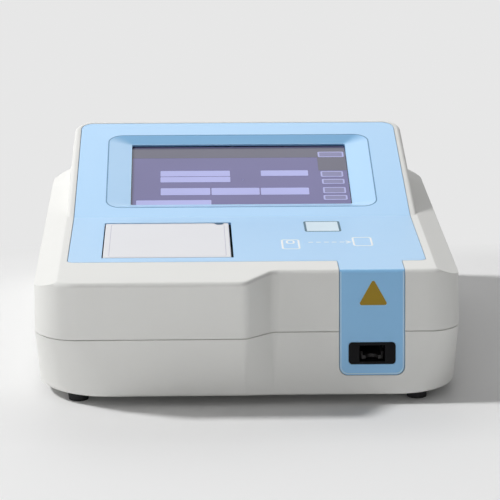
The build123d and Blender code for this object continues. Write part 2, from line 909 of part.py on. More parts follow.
with BuildPart() as paper_bucket:
    # Tub round the roll, and the shallower bay of the print mechanism behind it
    box(bucket_x, (bucket_y[0], mech_y[0]), (well_z - well_radius - bucket_wall, bucket_top))
    low = paper_bucket.edges().filter_by(Axis.X).group_by(Axis.Z)[0]
    fillet(low, well_radius * 0.6)
    box(bucket_x, (divider_y, bucket_y[1]), (mechanism_floor - bucket_wall, bucket_top))
    box(
        (bucket_x[0] - bucket_flange, bucket_x[1] + bucket_flange),
        (bucket_y[0] - bucket_flange, bucket_y[1] + bucket_flange),
        (flange_top - bucket_flange_thickness, flange_top),
    )
    # Roll well with a round bottom
    rod_x(roll_y, well_z, well_radius, well_x[0], well_x[1], mode=Mode.SUBTRACT)
    box(well_x, (roll_y - well_radius, divider_y), (well_z, bucket_top), mode=Mode.SUBTRACT)
    # Room for the door, its hinge and its arms
    box(bay_inner, bay_y, (hinge_z - knuckle_radius - 1, bucket_top), mode=Mode.SUBTRACT)
    # Room for the door's front edge, which swings down round the pin
    rod_x(hinge_y, hinge_z, door_swing_radius, *bay_inner, mode=Mode.SUBTRACT)
    # Bay of the print mechanism
    box(bay_inner, mech_y, (mechanism_floor, bucket_top), mode=Mode.SUBTRACT)
    box(well_x, (roll_y, mech_y[0]), (roll_z + roll_radius * 0.6, bucket_top), mode=Mode.SUBTRACT)
    rod_x(hinge_y, hinge_z, door_pin_radius, bucket_x[0] + 0.5, bucket_x[1] - 0.5, mode=Mode.SUBTRACT)
    flange_low = flange_top - bucket_flange_thickness
    for x, y in bucket_screw_places:
        rod_z(x, y, bucket_screw_radius, flange_low, flange_top, mode=Mode.SUBTRACT)
save(paper_bucket, "paper_bucket")

with BuildPart() as paper_roll:
    rod_x(roll_y, roll_z, roll_radius, *roll_x_span)
    rod_x(roll_y, roll_z, roll_bore_radius, *roll_x_span, mode=Mode.SUBTRACT)
save(paper_roll, "paper_roll")

with BuildPart() as paper_core:
    rod_x(roll_y, roll_z, roll_bore_radius, *roll_x_span)
    rod_x(roll_y, roll_z, roll_bore_radius - core_wall, *roll_x_span, mode=Mode.SUBTRACT)
save(paper_core, "paper_core")

gear_x = arm_x_places[1] + arm_thickness + 4.0
gear_x_span = (gear_x, gear_x + gear_width)
frame_x = (arm_x_places[0] - 2.5 - print_frame_wall, arm_x_places[1] + arm_thickness + 1.0)

with BuildPart() as platen_roller:
    rod_x(platen_y, platen_z, platen_radius, *roll_x_span)
    rod_x(platen_y, platen_z, platen_shaft_radius, *roll_x_span, mode=Mode.SUBTRACT)
save(platen_roller, "platen_roller")

with BuildPart() as platen_shaft:
    rod_x(platen_y, platen_z, platen_shaft_radius, arm_x_places[0] - 0.8, gear_x_span[1])
save(platen_shaft, "platen_shaft")


def gear(y, z, teeth, bore, phase, x_span):
    # Straight-toothed gear whose teeth are thinned by the backlash
    pitch = gear_module * teeth / 2
    tip = pitch + gear_module
    root = pitch - 1.25 * gear_module
    half_pitch = (pi * gear_module / 2 - gear_backlash) / 2 / pitch
    # Radius and share of the half tooth, up one side of the tooth and down the other
    low = root - tooth_overlap
    flank = ((low, -1.35), (pitch, -1), (tip, -0.5), (tip, 0.5), (pitch, 1), (low, 1.35))
    with BuildPart() as wheel:
        rod_x(y, z, root, *x_span)
        with BuildSketch(Plane.YZ.offset(x_span[0])) as teeth_face:
            for number in range(teeth):
                middle = phase + 2 * pi * number / teeth
                points = []
                for radius, share in flank:
                    angle = middle + share * half_pitch
                    points.append((y + radius * cos(angle), z + radius * sin(angle)))
                with BuildLine():
                    Polyline(*points, close=True)
                make_face()
        extrude(teeth_face.sketch, amount=x_span[1] - x_span[0])
        rod_x(y, z, bore, *x_span, mode=Mode.SUBTRACT)
    return wheel


gear_distance = gear_module * (pinion_teeth + idler_teeth) / 2
idler_y = platen_y
idler_z = platen_z - gear_distance
pinion_y = idler_y - gear_distance * sin(radians(pinion_angle))
pinion_z = idler_z - gear_distance * cos(radians(pinion_angle))
# Each gear's tooth stands in the middle of its partner's gap on the line of centres
idler_phase = pi / 2
platen_gear = gear(
    platen_y, platen_z, pinion_teeth, platen_shaft_radius, -pi / 2 + pi / pinion_teeth, gear_x_span
)
save(platen_gear, "platen_gear")
idler_gear = gear(
    idler_y, idler_z, idler_teeth, idler_stud_radius + platen_clearance, idler_phase, gear_x_span
)
save(idler_gear, "idler_gear")
to_pinion = atan2(pinion_z - idler_z, pinion_y - idler_y)
idler_step = 2 * pi / idler_teeth
offset_in_step = (to_pinion - idler_phase) % idler_step
pinion_phase = to_pinion + pi + pi / pinion_teeth + offset_in_step * idler_teeth / pinion_teeth
motor_pinion = gear(
    pinion_y, pinion_z, pinion_teeth, motor_shaft_radius, pinion_phase, gear_x_span
)
save(motor_pinion, "motor_pinion")

with BuildPart() as feed_motor_shaft:
    rod_x(pinion_y, pinion_z, motor_shaft_radius, frame_x[1] - feed_motor_length / 2, gear_x_span[1])
save(feed_motor_shaft, "feed_motor_shaft")

frame_side = (frame_x[1], frame_x[1] + print_frame_wall)
frame_y = (mech_y[0] + 1.0, mech_y[1] - 0.4)
frame_z = (mechanism_floor, platen_z - 3.0)
head_y = platen_y + platen_radius + head_gap
sink_y = head_y + head_thickness

with BuildPart() as print_frame:
    # Folded metal tray with a floor, two sides and a back
    box((frame_x[0], frame_side[1]), frame_y, (frame_z[0], frame_z[0] + print_frame_wall))
    box((frame_x[0], frame_x[0] + print_frame_wall), frame_y, frame_z)
    box(frame_side, frame_y, frame_z)
    box((frame_x[0], frame_side[1]), (frame_y[1] - print_frame_wall, frame_y[1]), frame_z)
    rod_x(pinion_y, pinion_z, motor_shaft_radius + 0.5, *frame_side, mode=Mode.SUBTRACT)
    # Open notches under the platen's shaft
    for x in (frame_x[0], frame_side[0]):
        rod_x(
            platen_y,
            frame_z[1],
            platen_shaft_radius + 1.0,
            x,
            x + print_frame_wall,
            mode=Mode.SUBTRACT,
        )
save(print_frame, "print_frame")

with BuildPart() as idler_stud:
    rod_x(idler_y, idler_z, idler_stud_radius, frame_side[1], gear_x_span[1] + 0.4)
    rod_x(idler_y, idler_z, idler_stud_radius + 1.0, gear_x_span[1] + 0.4, gear_x_span[1] + 1.4)
    rod_x(idler_y, idler_z, idler_stud_radius + 1.0, frame_side[1], gear_x_span[0] - 0.4)
save(idler_stud, "idler_stud")

with BuildPart() as feed_motor:
    rod_x(pinion_y, pinion_z, feed_motor_radius, frame_x[1] - feed_motor_length, frame_x[1])
    rod_x(
        pinion_y,
        pinion_z,
        motor_shaft_radius + 0.06,
        frame_x[1] - feed_motor_length / 2 - 0.3,
        frame_x[1],
        mode=Mode.SUBTRACT,
    )
save(feed_motor, "feed_motor")

with BuildPart() as thermal_head:
    box(roll_x_span, (head_y, sink_y), (platen_z - head_reach, platen_z + head_rise))
save(thermal_head, "thermal_head")

with BuildPart() as head_heat_sink:
    sink_z = (frame_z[0] + print_frame_wall, platen_z + head_rise)
    box(roll_x_span, (sink_y, sink_y + head_sink_thickness), sink_z)
    with Locations((roll_x, sink_y + head_sink_thickness, platen_z - 20.0)):
        with GridLocations(6.0, 0, 8, 1):
            Box(2.0, head_sink_thickness, 12.0, mode=Mode.SUBTRACT)
save(head_heat_sink, "head_heat_sink")

with BuildPart() as head_spring:
    # Bent leaf between the heat sink and the frame's back
    spring_front = sink_y + head_sink_thickness
    spring_back = frame_y[1] - print_frame_wall
    leaf = 0.4
    profile_x(
        [
            (spring_front, platen_z - 6.0),
            (spring_front + leaf, platen_z - 6.0),
            (spring_back, frame_z[1] - 14.0),
            (spring_back, frame_z[1] - 22.0),
            (spring_back - leaf, frame_z[1] - 22.0),
            (spring_back - leaf, frame_z[1] - 14.0),
        ],
        *around(roll_x, 20.0),
    )
save(head_spring, "head_spring")

with BuildPart() as tear_bar:
    # Toothed strip on the bucket's back wall, where the paper comes out
    bar_y = (bay_y[1] - tear_bar_thickness, bay_y[1])
    bar_top = door_top - 1.2
    box(roll_x_span, bar_y, (bar_top - 6.0, bar_top - 0.8))
    tooth = roll_width / 38
    with BuildSketch(Plane.XZ.offset(-bar_y[1])) as teeth_face:
        for number in range(38):
            left = roll_x_span[0] + tooth * number
            with BuildLine():
                Polyline(
                    (left, bar_top - 1.0),
                    (left + tooth, bar_top - 1.0),
                    (left + tooth / 2, bar_top),
                    close=True,
                )
            make_face()
    extrude(teeth_face.sketch, amount=tear_bar_thickness)
save(tear_bar, "tear_bar")

with BuildPart() as bucket_screws:
    flange_low = flange_top - bucket_flange_thickness
    for x, y in bucket_screw_places:
        rod_z(x, y, screw_head - 0.6, flange_low - screw_head_height, flange_low)
        rod_z(x, y, bucket_screw_radius - 0.05, flange_low, flange_top + 1.4)
save(bucket_screws, "bucket_screws")

# Card reader: a tray on two rods, drawn in by a lead screw under the optics

tray_back = tray_front + tray_length
slider_y = (tray_back - slider_length, tray_back)
optic_bottom = tray_bottom + tray_height + 5.0
optic_span = around(optic_y, optic_length)

with BuildPart() as slot_bezel:
    slab(slot_face, bezel_width, bezel_height, -fascia_thickness, bezel_proud, bezel_radius)
    front = slot_bezel.faces().filter_by(lambda f: f.normal_at().dot(slot_face.z_dir) > 0.999)
    fillet(front.edges(), bezel_edge)
    slab(
        slot_face,
        slot_width + 2 * sleeve_wall,
        slot_height + 2 * sleeve_wall,
        -bezel_sleeve,
        -fascia_thickness,
        bezel_radius,
    )
    box(
        around(slot_x, slot_width),
        (slot_face.origin.Y - bezel_sleeve, slot_face.origin.Y + 2 * bezel_sleeve),
        around(slot_z, slot_height),
        mode=Mode.SUBTRACT,
    )
save(slot_bezel, "slot_bezel")

with BuildPart() as reader_frame:
    box(reader_x, (reader_front, reader_back), (reader_floor_z, reader_floor_z + reader_plate))
    wall_top = rod_z_height + 2 * rod_radius + 1.0
    for y in (reader_front, reader_back - reader_wall):
        box(slider_x, (y, y + reader_wall), (reader_floor_z, wall_top))
        for x in rod_x_places:
            rod_y(x, rod_z_height, rod_radius, y, y + reader_wall, mode=Mode.SUBTRACT)
        rod_y(slot_x, screw_z, screw_radius + rod_clearance, y, y + reader_wall, mode=Mode.SUBTRACT)
    # Way for the tray through the front wall
    box(
        around(slot_x, tray_width + 1.2),
        (reader_front, reader_front + reader_wall),
        (tray_bottom - 0.6, wall_top),
        mode=Mode.SUBTRACT,
    )
    for x in (reader_x[0], reader_x[1] - reader_side):
        box((x, x + reader_side), optic_span, (reader_floor_z, optic_bottom))
    for x, y in reader_bosses:
        rod_z(x, y, screw_shank + 0.2, reader_floor_z, reader_floor_z + reader_plate, mode=Mode.SUBTRACT)
save(reader_frame, "reader_frame")

with BuildPart() as guide_rods:
    for x in rod_x_places:
        rod_y(x, rod_z_height, rod_radius, reader_front, reader_back)
save(guide_rods, "guide_rods")

with BuildPart() as card_tray:
    box(tray_x, (tray_front, tray_back), (tray_bottom, tray_bottom + tray_height))
    front_edges = card_tray.edges().filter_by(Axis.Z).group_by(Axis.Y)[0]
    fillet(front_edges, 2.0)
    box(slider_x, slider_y, around(rod_z_height, 4 * rod_radius))
    box(around(slot_x, 3.2 * nut_radius), slider_y, (screw_z - nut_radius - 0.8, rod_z_height))
    card_top = tray_bottom + tray_height
    box(
        around(slot_x, card_width),
        (tray_front - 1, tray_front + card_length),
        (card_top - card_depth, card_top + tray_height),
        mode=Mode.SUBTRACT,
    )
    # Finger scoop at the tray's mouth
    rod_z(slot_x, tray_front, card_width / 3, tray_bottom, card_top, mode=Mode.SUBTRACT)
    for x in rod_x_places:
        rod_y(x, rod_z_height, rod_radius + rod_clearance, *slider_y, mode=Mode.SUBTRACT)
    rod_y(slot_x, screw_z, screw_radius + nut_clearance, *slider_y, mode=Mode.SUBTRACT)
    rod_y(slot_x, screw_z, nut_radius, slider_y[1] - nut_length, slider_y[1], mode=Mode.SUBTRACT)
save(card_tray, "card_tray")

with BuildPart() as lead_nut:
    rod_y(slot_x, screw_z, nut_radius, slider_y[1] - nut_length, slider_y[1])
    bore = screw_radius + nut_clearance
    rod_y(slot_x, screw_z, bore, slider_y[1] - nut_length, slider_y[1], mode=Mode.SUBTRACT)
save(lead_nut, "lead_nut")

with BuildPart() as lead_screw:
    rod_y(slot_x, screw_z, screw_radius, reader_front, reader_back + 3.0)
save(lead_screw, "lead_screw")

with BuildPart() as reader_motor:
    box(
        around(slot_x, reader_motor_size),
        (reader_back, reader_back + reader_motor_length),
        around(screw_z, reader_motor_size),
    )
    fillet(reader_motor.edges().filter_by(Axis.Y), 2.0)
    rod_y(
        slot_x,
        screw_z,
        screw_radius + rod_clearance,
        reader_back,
        reader_back + 3.3,
        mode=Mode.SUBTRACT,
    )
save(reader_motor, "reader_motor")

optic_top = optic_bottom + optic_height
lamp_plane = Plane(
    origin=(slot_x, optic_y - 5.0, optic_bottom + 4.0), x_dir=(1, 0, 0), z_dir=(0, -1, 1)
)

with BuildPart() as optic_housing:
    box(reader_x, optic_span, (optic_bottom, optic_bottom + 2.0))
    box(around(slot_x, 28.0), optic_span, (optic_bottom, optic_top))
    rod_z(slot_x, optic_y, optic_bore_radius, optic_bottom, optic_top, mode=Mode.SUBTRACT)
    with BuildSketch(lamp_plane) as lamp_bore:
        Circle(lamp_radius)
    extrude(lamp_bore.sketch, amount=40.0, mode=Mode.SUBTRACT)
save(optic_housing, "optic_housing")

with BuildPart() as excitation_lamp:
    with BuildSketch(lamp_plane.offset(8.0)) as lamp_face:
        Circle(lamp_radius)
    extrude(lamp_face.sketch, amount=8.0)
save(excitation_lamp, "excitation_lamp")

with BuildPart() as objective_lens:
    lens_z = optic_bottom + 10.0
    rod_z(slot_x, optic_y, optic_bore_radius, lens_z, lens_z + lens_height)
    with Locations((slot_x, optic_y, lens_z + lens_height - lens_radius)):
        Sphere(lens_radius, mode=Mode.INTERSECT)
save(objective_lens, "objective_lens")

with BuildPart() as emission_filter:
    rod_z(slot_x, optic_y, optic_bore_radius, optic_top - 7.0, optic_top - 5.0)
save(emission_filter, "emission_filter")

with BuildPart() as photodiode:
    rod_z(slot_x, optic_y, optic_bore_radius - 1.0, optic_top - 3.0, optic_top)
save(photodiode, "photodiode")

with BuildPart() as detector_board:
    box(around(slot_x, 26.0), around(optic_y, 34.0), (optic_top, optic_top + board_thickness))
save(detector_board, "detector_board")

with BuildPart() as home_sensor:
    sensor_x = (rod_x_places[1] - 6.0, rod_x_places[1] + 3.0)
    sensor_y = (reader_back - 24.0, reader_back - 12.0)
    sensor_z = reader_floor_z + reader_plate
    box(sensor_x, sensor_y, (sensor_z, sensor_z + 9.0))
    gap_x = around((sensor_x[0] + sensor_x[1]) / 2, 3.0)
    box(gap_x, sensor_y, (sensor_z + 3.0, sensor_z + 9.0), mode=Mode.SUBTRACT)
save(home_sensor, "home_sensor")

# Boards


def screws(places, z, grip):
    # Pan-head screws that hold a plate of the given thickness from above
    for x, y in places:
        rod_z(x, y, screw_head, z, z + screw_head_height)
        rod_z(x, y, screw_shank - 0.05, z - grip - 3.0, z)


with BuildPart() as main_board:
    box(main_x, main_y, (board_z, board_z + board_thickness))
    for x, y in main_bosses:
        rod_z(x, y, screw_shank + 0.2, board_z, board_z + board_thickness, mode=Mode.SUBTRACT)
save(main_board, "main_board")

board_top = board_z + board_thickness
ribbon_x = around(main_board_x, 30.0)
ribbon_y = main_board_y - 20.0

with BuildPart() as board_components:
    # Processor, memory, drivers, connectors and capacitors, each its own body
    box(around(main_board_x - 30, 24.0), around(main_board_y, 24.0), (board_top, board_top + 2.4))
    box(around(main_board_x - 4, 12.0), around(main_board_y + 12, 18.0), (board_top, board_top + 1.4))
    box(around(main_board_x + 20, 10.0), around(main_board_y + 12, 16.0), (board_top, board_top + 1.8))
    box(around(main_board_x + 45, 9.0), around(main_board_y - 10, 9.0), (board_top, board_top + 1.8))
    box(ribbon_x, around(ribbon_y, 5.0), (board_top, board_top + 4.0))
    box(around(main_board_x - 46, 20.0), around(main_y[0] + 8, 7.0), (board_top, board_top + 8.0))
    box(around(main_board_x + 35, 28.0), around(main_y[0] + 8, 7.0), (board_top, board_top + 8.0))
    for number in range(4):
        rod_z(main_board_x + 50, main_board_y + 10 + 9 * number, 3.2, board_top, board_top + 11.0)
save(board_components, "board_components")

with BuildPart() as buzzer:
    rod_z(main_board_x - 52, main_board_y + 34, 6.0, board_top, board_top + 9.0)
    rod_z(main_board_x - 52, main_board_y + 34, 1.2, board_top + 6.0, board_top + 9.0, mode=Mode.SUBTRACT)
save(buzzer, "buzzer")

with BuildPart() as power_board:
    box(supply_x_span, supply_y_span, (board_z, board_top))
    for x, y in supply_bosses:
        rod_z(x, y, screw_shank + 0.2, board_z, board_top, mode=Mode.SUBTRACT)
save(power_board, "power_board")

with BuildPart() as power_components:
    # Transformer, mains capacitor, smoothing capacitors and a finned heat sink
    box(around(supply_x, 26.0), around(supply_y, 24.0), (board_top, board_top + supply_height))
    rod_z(supply_x - 14, supply_y + 26, 8.0, board_top, board_top + supply_height)
    for y in (supply_y - 27, supply_y - 16):
        rod_z(supply_x + 18.5, y, 4.5, board_top, board_top + supply_height * 0.7)
    sink_x = supply_x_span[0] + 4
    box((sink_x, sink_x + 8.0), around(supply_y - 9, 32.0), (board_top, board_top + supply_height))
    with Locations((sink_x + 8.0, supply_y - 9, board_top + supply_height / 2)):
        with GridLocations(0, 6.0, 1, 5):
            Box(8.0, 3.0, supply_height, mode=Mode.SUBTRACT)
save(power_components, "power_components")

with BuildPart() as board_screws:
    screws(main_bosses + supply_bosses, board_top, board_thickness)
    screws(reader_bosses, reader_floor_z + reader_plate, reader_plate)
save(board_screws, "board_screws")

with BuildPart() as display_ribbon:
    # Flat cable from the main board up to the back of the display
    module_z = deck_z + (ribbon_y - kink_y) * tan(tilt) - module_back / cos(tilt)
    leaf = 0.5
    bend_z = (board_top + module_z) / 2
    profile_x(
        [
            (ribbon_y, board_top + 4.0),
            (ribbon_y + leaf, board_top + 4.0),
            (ribbon_y + leaf, bend_z - 6.0),
            (ribbon_y + 6.0 + leaf, bend_z + 6.0),
            (ribbon_y + 6.0 + leaf, module_z + 1.0),
            (ribbon_y + 6.0, module_z + 1.0),
            (ribbon_y + 6.0, bend_z + 6.0),
            (ribbon_y, bend_z - 6.0),
        ],
        *around(main_board_x, 26.0),
    )
save(display_ribbon, "display_ribbon")

# Rear plate and its sockets

with BuildPart() as rear_plate:
    box(around(plate_x, plate_width), plate_y, around(plate_z, plate_height))
    fillet(rear_plate.edges().filter_by(Axis.Y), 1.0)
    cuts = [
        (inlet_x, inlet_width, inlet_height),
        (rocker_x, rocker_frame_width - 2.0, rocker_frame_height - 2.0),
        (usb_x, usb_width, usb_height),
        (network_x, network_width, network_height),
    ]
    for x, width, height in cuts:
        box(around(x, width + 0.2), plate_y, around(plate_z, height + 0.2), mode=Mode.SUBTRACT)
    for x, z in plate_screw_places:
        rod_y(x, z, screw_shank + 0.2, *plate_y, mode=Mode.SUBTRACT)
    with Locations((network_x - 32.0, plate_y[0], plate_z)):
        with GridLocations(5.0, 0, 5, 1):
            Box(vent_width, 4 * plate_thickness, plate_height / 2, mode=Mode.SUBTRACT)
save(rear_plate, "rear_plate")

with BuildPart() as plate_screws:
    for x, z in plate_screw_places:
        rod_y(x, z, screw_shank - 0.05, plate_y[0] - 0.7 * plate_lap, plate_y[1])
        rod_y(x, z, screw_head, plate_y[1], plate_y[1] + screw_head_height)
save(plate_screws, "plate_screws")

inlet_plane = Plane(origin=(inlet_x, plate_y[1], plate_z), x_dir=(-1, 0, 0), z_dir=(0, 1, 0))
rocker_plane = Plane(origin=(rocker_x, plate_y[1], plate_z), x_dir=(-1, 0, 0), z_dir=(0, 1, 0))

with BuildPart() as power_inlet:
    slab(inlet_plane, inlet_width + 5.0, inlet_height + 5.0, 0, inlet_flange, 2.5)
    slab(inlet_plane, inlet_width, inlet_height, -inlet_depth, 0, 1.0)
    cavity = (inlet_width - 2 * inlet_wall, inlet_height - 2 * inlet_wall)
    slab(inlet_plane, *cavity, inlet_floor - inlet_depth, inlet_flange, inlet_wall, mode=Mode.SUBTRACT)
    for x, z in inlet_pin_places:
        with BuildSketch(inlet_plane.offset(-inlet_depth)) as pin_hole:
            with Locations((x, z)):
                Rectangle(pin_width, pin_height)
        extrude(pin_hole.sketch, amount=inlet_floor, mode=Mode.SUBTRACT)
save(power_inlet, "power_inlet")

with BuildPart() as inlet_pins:
    for x, z in inlet_pin_places:
        with BuildSketch(inlet_plane.offset(-inlet_depth - 6.0)) as pin_face:
            with Locations((x, z)):
                Rectangle(pin_width, pin_height)
        extrude(pin_face.sketch, amount=inlet_depth + 2.0)
save(inlet_pins, "inlet_pins")

with BuildPart() as rocker_frame:
    slab(rocker_plane, rocker_frame_width, rocker_frame_height, 0, inlet_flange - 0.6, 1.5)
    slab(rocker_plane, rocker_frame_width - 2.0, rocker_frame_height - 2.0, -12.0, 0)
    slab(
        rocker_plane,
        rocker_width + 0.8,
        rocker_height + 1.8,
        -10.0,
        inlet_flange,
        mode=Mode.SUBTRACT,
    )
    # Bearing for the rocker's pin
    rod_x(
        plate_y[1] - rocker_pin_depth,
        plate_z,
        1.0,
        *around(rocker_x, rocker_width + 2.0),
        mode=Mode.SUBTRACT,
    )
save(rocker_frame, "rocker_frame")

with BuildPart() as power_rocker:
    half = rocker_height / 2
    pin_y = plate_y[1] - rocker_pin_depth
    profile_x(
        [
            (pin_y - 3.0, plate_z - half + 1.0),
            (pin_y + 1.0, plate_z - half),
            (pin_y + rocker_pin_depth + 0.4, plate_z - half),
            (pin_y + rocker_pin_depth - 0.6, plate_z),
            (pin_y + rocker_pin_depth + 0.4, plate_z + half),
            (pin_y + 1.0, plate_z + half),
            (pin_y - 3.0, plate_z + half - 1.0),
        ],
        *around(rocker_x, rocker_width),
    )
    rod_x(pin_y, plate_z, 1.0 - platen_clearance, *around(rocker_x, rocker_width + 1.6))
pivot = Axis((rocker_x, pin_y, plate_z), (1, 0, 0))
power_rocker.part = power_rocker.part.rotate(pivot, -rocker_tilt)
save(power_rocker, "power_rocker")

with BuildPart() as usb_ports:
    port_y = (plate_y[1] - socket_depth, plate_y[1] + 0.4)
    box(around(usb_x, usb_width), port_y, around(plate_z, usb_height))
    for z in (plate_z - usb_height / 4, plate_z + usb_height / 4):
        box(around(usb_x, 12.6), (port_y[0] + 4.0, port_y[1]), around(z, 5.2), mode=Mode.SUBTRACT)
        box(around(usb_x, 11.0), (port_y[0] + 3.0, port_y[1] - 1.0), (z + 0.4, z + 2.2))
save(usb_ports, "usb_ports")

with BuildPart() as network_port:
    box(around(network_x, network_width), port_y, around(plate_z, network_height))
    cavity_y = (port_y[1] - plug_depth, port_y[1])
    cavity_z = (plate_z - plug_low, plate_z - plug_low + plug_height)
    box(around(network_x, plug_width), cavity_y, cavity_z, mode=Mode.SUBTRACT)
    # Keyway of the plug's latch
    keyway_z = (cavity_z[1], cavity_z[1] + latch_height)
    box(around(network_x, latch_width), cavity_y, keyway_z, mode=Mode.SUBTRACT)
save(network_port, "network_port")

with BuildPart() as port_board:
    port_board_top = plate_z - usb_height / 2
    box(
        (network_x - network_width / 2 - 4.0, usb_x + usb_width / 2 + 4.0),
        (port_y[0] - 8.0, plate_y[0] - 2.2 * plate_lap),
        (port_board_top - board_thickness, port_board_top),
    )
save(port_board, "port_board")

joint_points = {
    "door": (roll_x, hinge_y, hinge_z),
    "platen": (roll_x, platen_y, platen_z),
    "idler": (gear_x, idler_y, idler_z),
    "pinion": (gear_x, pinion_y, pinion_z),
    "roll": (roll_x, roll_y, roll_z),
    "lead screw": (slot_x, reader_back, screw_z),
    "rocker": (rocker_x, pin_y, plate_z),
    "slot": (slot_x, slot_face.origin.Y, slot_z),
    "tray top": (slot_x, tray_front, tray_bottom + tray_height),
    "foot": (foot_x, foot_y_places[0], 0.0),
}
for name, point in joint_points.items():
    print(name, [round(value, 3) for value in point])
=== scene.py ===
import json
import math

import bpy
import numpy as np
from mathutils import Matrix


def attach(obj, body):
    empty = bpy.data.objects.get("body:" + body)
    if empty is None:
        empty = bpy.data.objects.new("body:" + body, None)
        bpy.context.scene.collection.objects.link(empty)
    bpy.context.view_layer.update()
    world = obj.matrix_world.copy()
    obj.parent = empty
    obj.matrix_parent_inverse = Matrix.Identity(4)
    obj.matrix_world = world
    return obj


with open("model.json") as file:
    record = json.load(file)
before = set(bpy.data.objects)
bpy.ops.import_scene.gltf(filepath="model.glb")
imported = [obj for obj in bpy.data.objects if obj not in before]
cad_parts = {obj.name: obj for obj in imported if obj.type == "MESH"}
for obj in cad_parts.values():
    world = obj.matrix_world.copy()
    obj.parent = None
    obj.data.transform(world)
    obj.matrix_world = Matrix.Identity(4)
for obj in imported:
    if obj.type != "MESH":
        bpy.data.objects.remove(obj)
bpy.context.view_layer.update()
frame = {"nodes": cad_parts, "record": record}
print("frame loaded:", len(frame["nodes"]), "nodes")

# Camera, floor and lamps

cameraPlace = {
    "spot": (-0.0442, -1.7635, 0.5259),
    "lens": 190.08,
    "sensor": 36.0,
    "pitch": 14.69,                    # degrees below level
    "yaw": 1.6,                        # degrees towards +X
    "roll": 0.0,
    "seesFrom": 0.05,
    "seesTo": 50.0,
}

floorLook = {
    "reach": 3.0,                      # half the floor's side, m
    "lines": 25,                       # grid lines each way
    # painted light and shade: the floor is lighter in front of the case and darker beside it, for how the
    # light falls there
    "front": (0.93, 0.93, 0.93),
    "beside": (0.83, 0.83, 0.83),
    "turn": (-0.23, -0.13),            # the front tone gives way to the other between these Y values
    "backdrop": (0.80, 0.80, 0.80),    # tone that the camera sees behind the object
    "edge": (0.21, 0.26),              # the backdrop sets in between these two Y values
    "roughness": 0.85,
    "specular": 0.05,
}

lampPlan = {
    "key": {"spot": (-4.80, 0.51, 5.34), "size": 0.84, "power": 342.0},
    "fill": {"spot": (-1.2, -3.0, 0.4), "size": 0.9, "power": 11.5},
    "softbox": {"spot": (-0.25, 2.2, 2.04), "size": 2.0, "power": 11.0},
}

skyPlan = {
    "base": 0.09,                      # light from level and below
    "rise": 0.16,                      # added straight overhead
    "back": 0.70,                      # added towards the back
    "backEdge": (0.2, 0.95),           # that share grows between these Y parts of the direction
    "seen": (0.80, 0.80, 0.80),        # tone that the camera sees past the floor
}


def placeCamera(plan):
    # Looks along +Y from its spot, turned down by the pitch and aside by the yaw
    lens = bpy.data.cameras.new("camera")
    lens.lens = plan["lens"]
    lens.sensor_width = plan["sensor"]
    lens.sensor_fit = "HORIZONTAL"
    lens.clip_start = plan["seesFrom"]
    lens.clip_end = plan["seesTo"]
    camera = bpy.data.objects.new("camera", lens)
    camera.location = plan["spot"]
    camera.rotation_mode = "XYZ"
    camera.rotation_euler = (
        math.radians(90 - plan["pitch"]), math.radians(plan["roll"]), math.radians(-plan["yaw"]))
    bpy.context.scene.collection.objects.link(camera)
    bpy.context.scene.camera = camera


def placeLamp(name, plan):
    # A round lamp that faces the origin: tipped by the angle between its spot and straight up
    lamp = bpy.data.lights.new(name, "AREA")
    lamp.shape = "DISK"
    lamp.size = plan["size"]
    lamp.energy = plan["power"]
    holder = bpy.data.objects.new(name, lamp)
    holder.location = plan["spot"]
    x, y, z = plan["spot"]
    holder.rotation_euler = (math.atan2(math.hypot(x, y), z), 0, math.atan2(x, -y))
    bpy.context.scene.collection.objects.link(holder)


def placeSky(plan):
    # Light by direction: a base, a share that rises with height and one that grows to the back
    world = bpy.data.worlds.new("sky")
    bpy.context.scene.world = world
    world.use_nodes = True
    nodes, links = world.node_tree.nodes, world.node_tree.links
    lit = nodes["Background"]
    place = nodes.new("ShaderNodeTexCoord")
    parts = nodes.new("ShaderNodeSeparateXYZ")
    links.new(place.outputs["Generated"], parts.inputs["Vector"])
    high = nodes.new("ShaderNodeMapRange")
    high.inputs["To Max"].default_value = plan["rise"]
    links.new(parts.outputs["Z"], high.inputs["Value"])
    back = nodes.new("ShaderNodeMapRange")
    back.interpolation_type = "SMOOTHSTEP"
    back.inputs["From Min"].default_value, back.inputs["From Max"].default_value = plan["backEdge"]
    back.inputs["To Max"].default_value = plan["back"]
    links.new(parts.outputs["Y"], back.inputs["Value"])
    both = nodes.new("ShaderNodeMath")
    links.new(high.outputs["Result"], both.inputs[0])
    links.new(back.outputs["Result"], both.inputs[1])
    total = nodes.new("ShaderNodeMath")
    total.inputs[1].default_value = plan["base"]
    links.new(both.outputs[0], total.inputs[0])
    links.new(total.outputs[0], lit.inputs["Color"])
    seen = nodes.new("ShaderNodeBackground")
    seen.inputs["Color"].default_value = (*plan["seen"], 1)
    path = nodes.new("ShaderNodeLightPath")
    choose = nodes.new("ShaderNodeMixShader")
    links.new(path.outputs["Is Camera Ray"], choose.inputs["Fac"])
    links.new(lit.outputs["Background"], choose.inputs[1])
    links.new(seen.outputs["Background"], choose.inputs[2])
    links.new(choose.outputs["Shader"], nodes["World Output"].inputs["Surface"])


placeCamera(cameraPlace)
for lampName, plan in lampPlan.items():
    placeLamp(lampName, plan)
placeSky(skyPlan)
bpy.context.scene.view_settings.view_transform = "Standard"
print("camera and lamps placed")


# Nodes that the materials are made from

def newMaterial(name, colour, roughness, metallic=0.0, **sockets):
    # A shader whose sockets take their even values directly
    material = bpy.data.materials.new(name)
    material.use_nodes = True
    shader = material.node_tree.nodes["Principled BSDF"]
    shader.inputs["Base Color"].default_value = (*colour, 1)
    shader.inputs["Roughness"].default_value = roughness
    shader.inputs["Metallic"].default_value = metallic
    for socket, value in sockets.items():
        shader.inputs[socket.replace("_", " ")].default_value = value
    material.diffuse_color = (*colour, 1)
    return material, shader


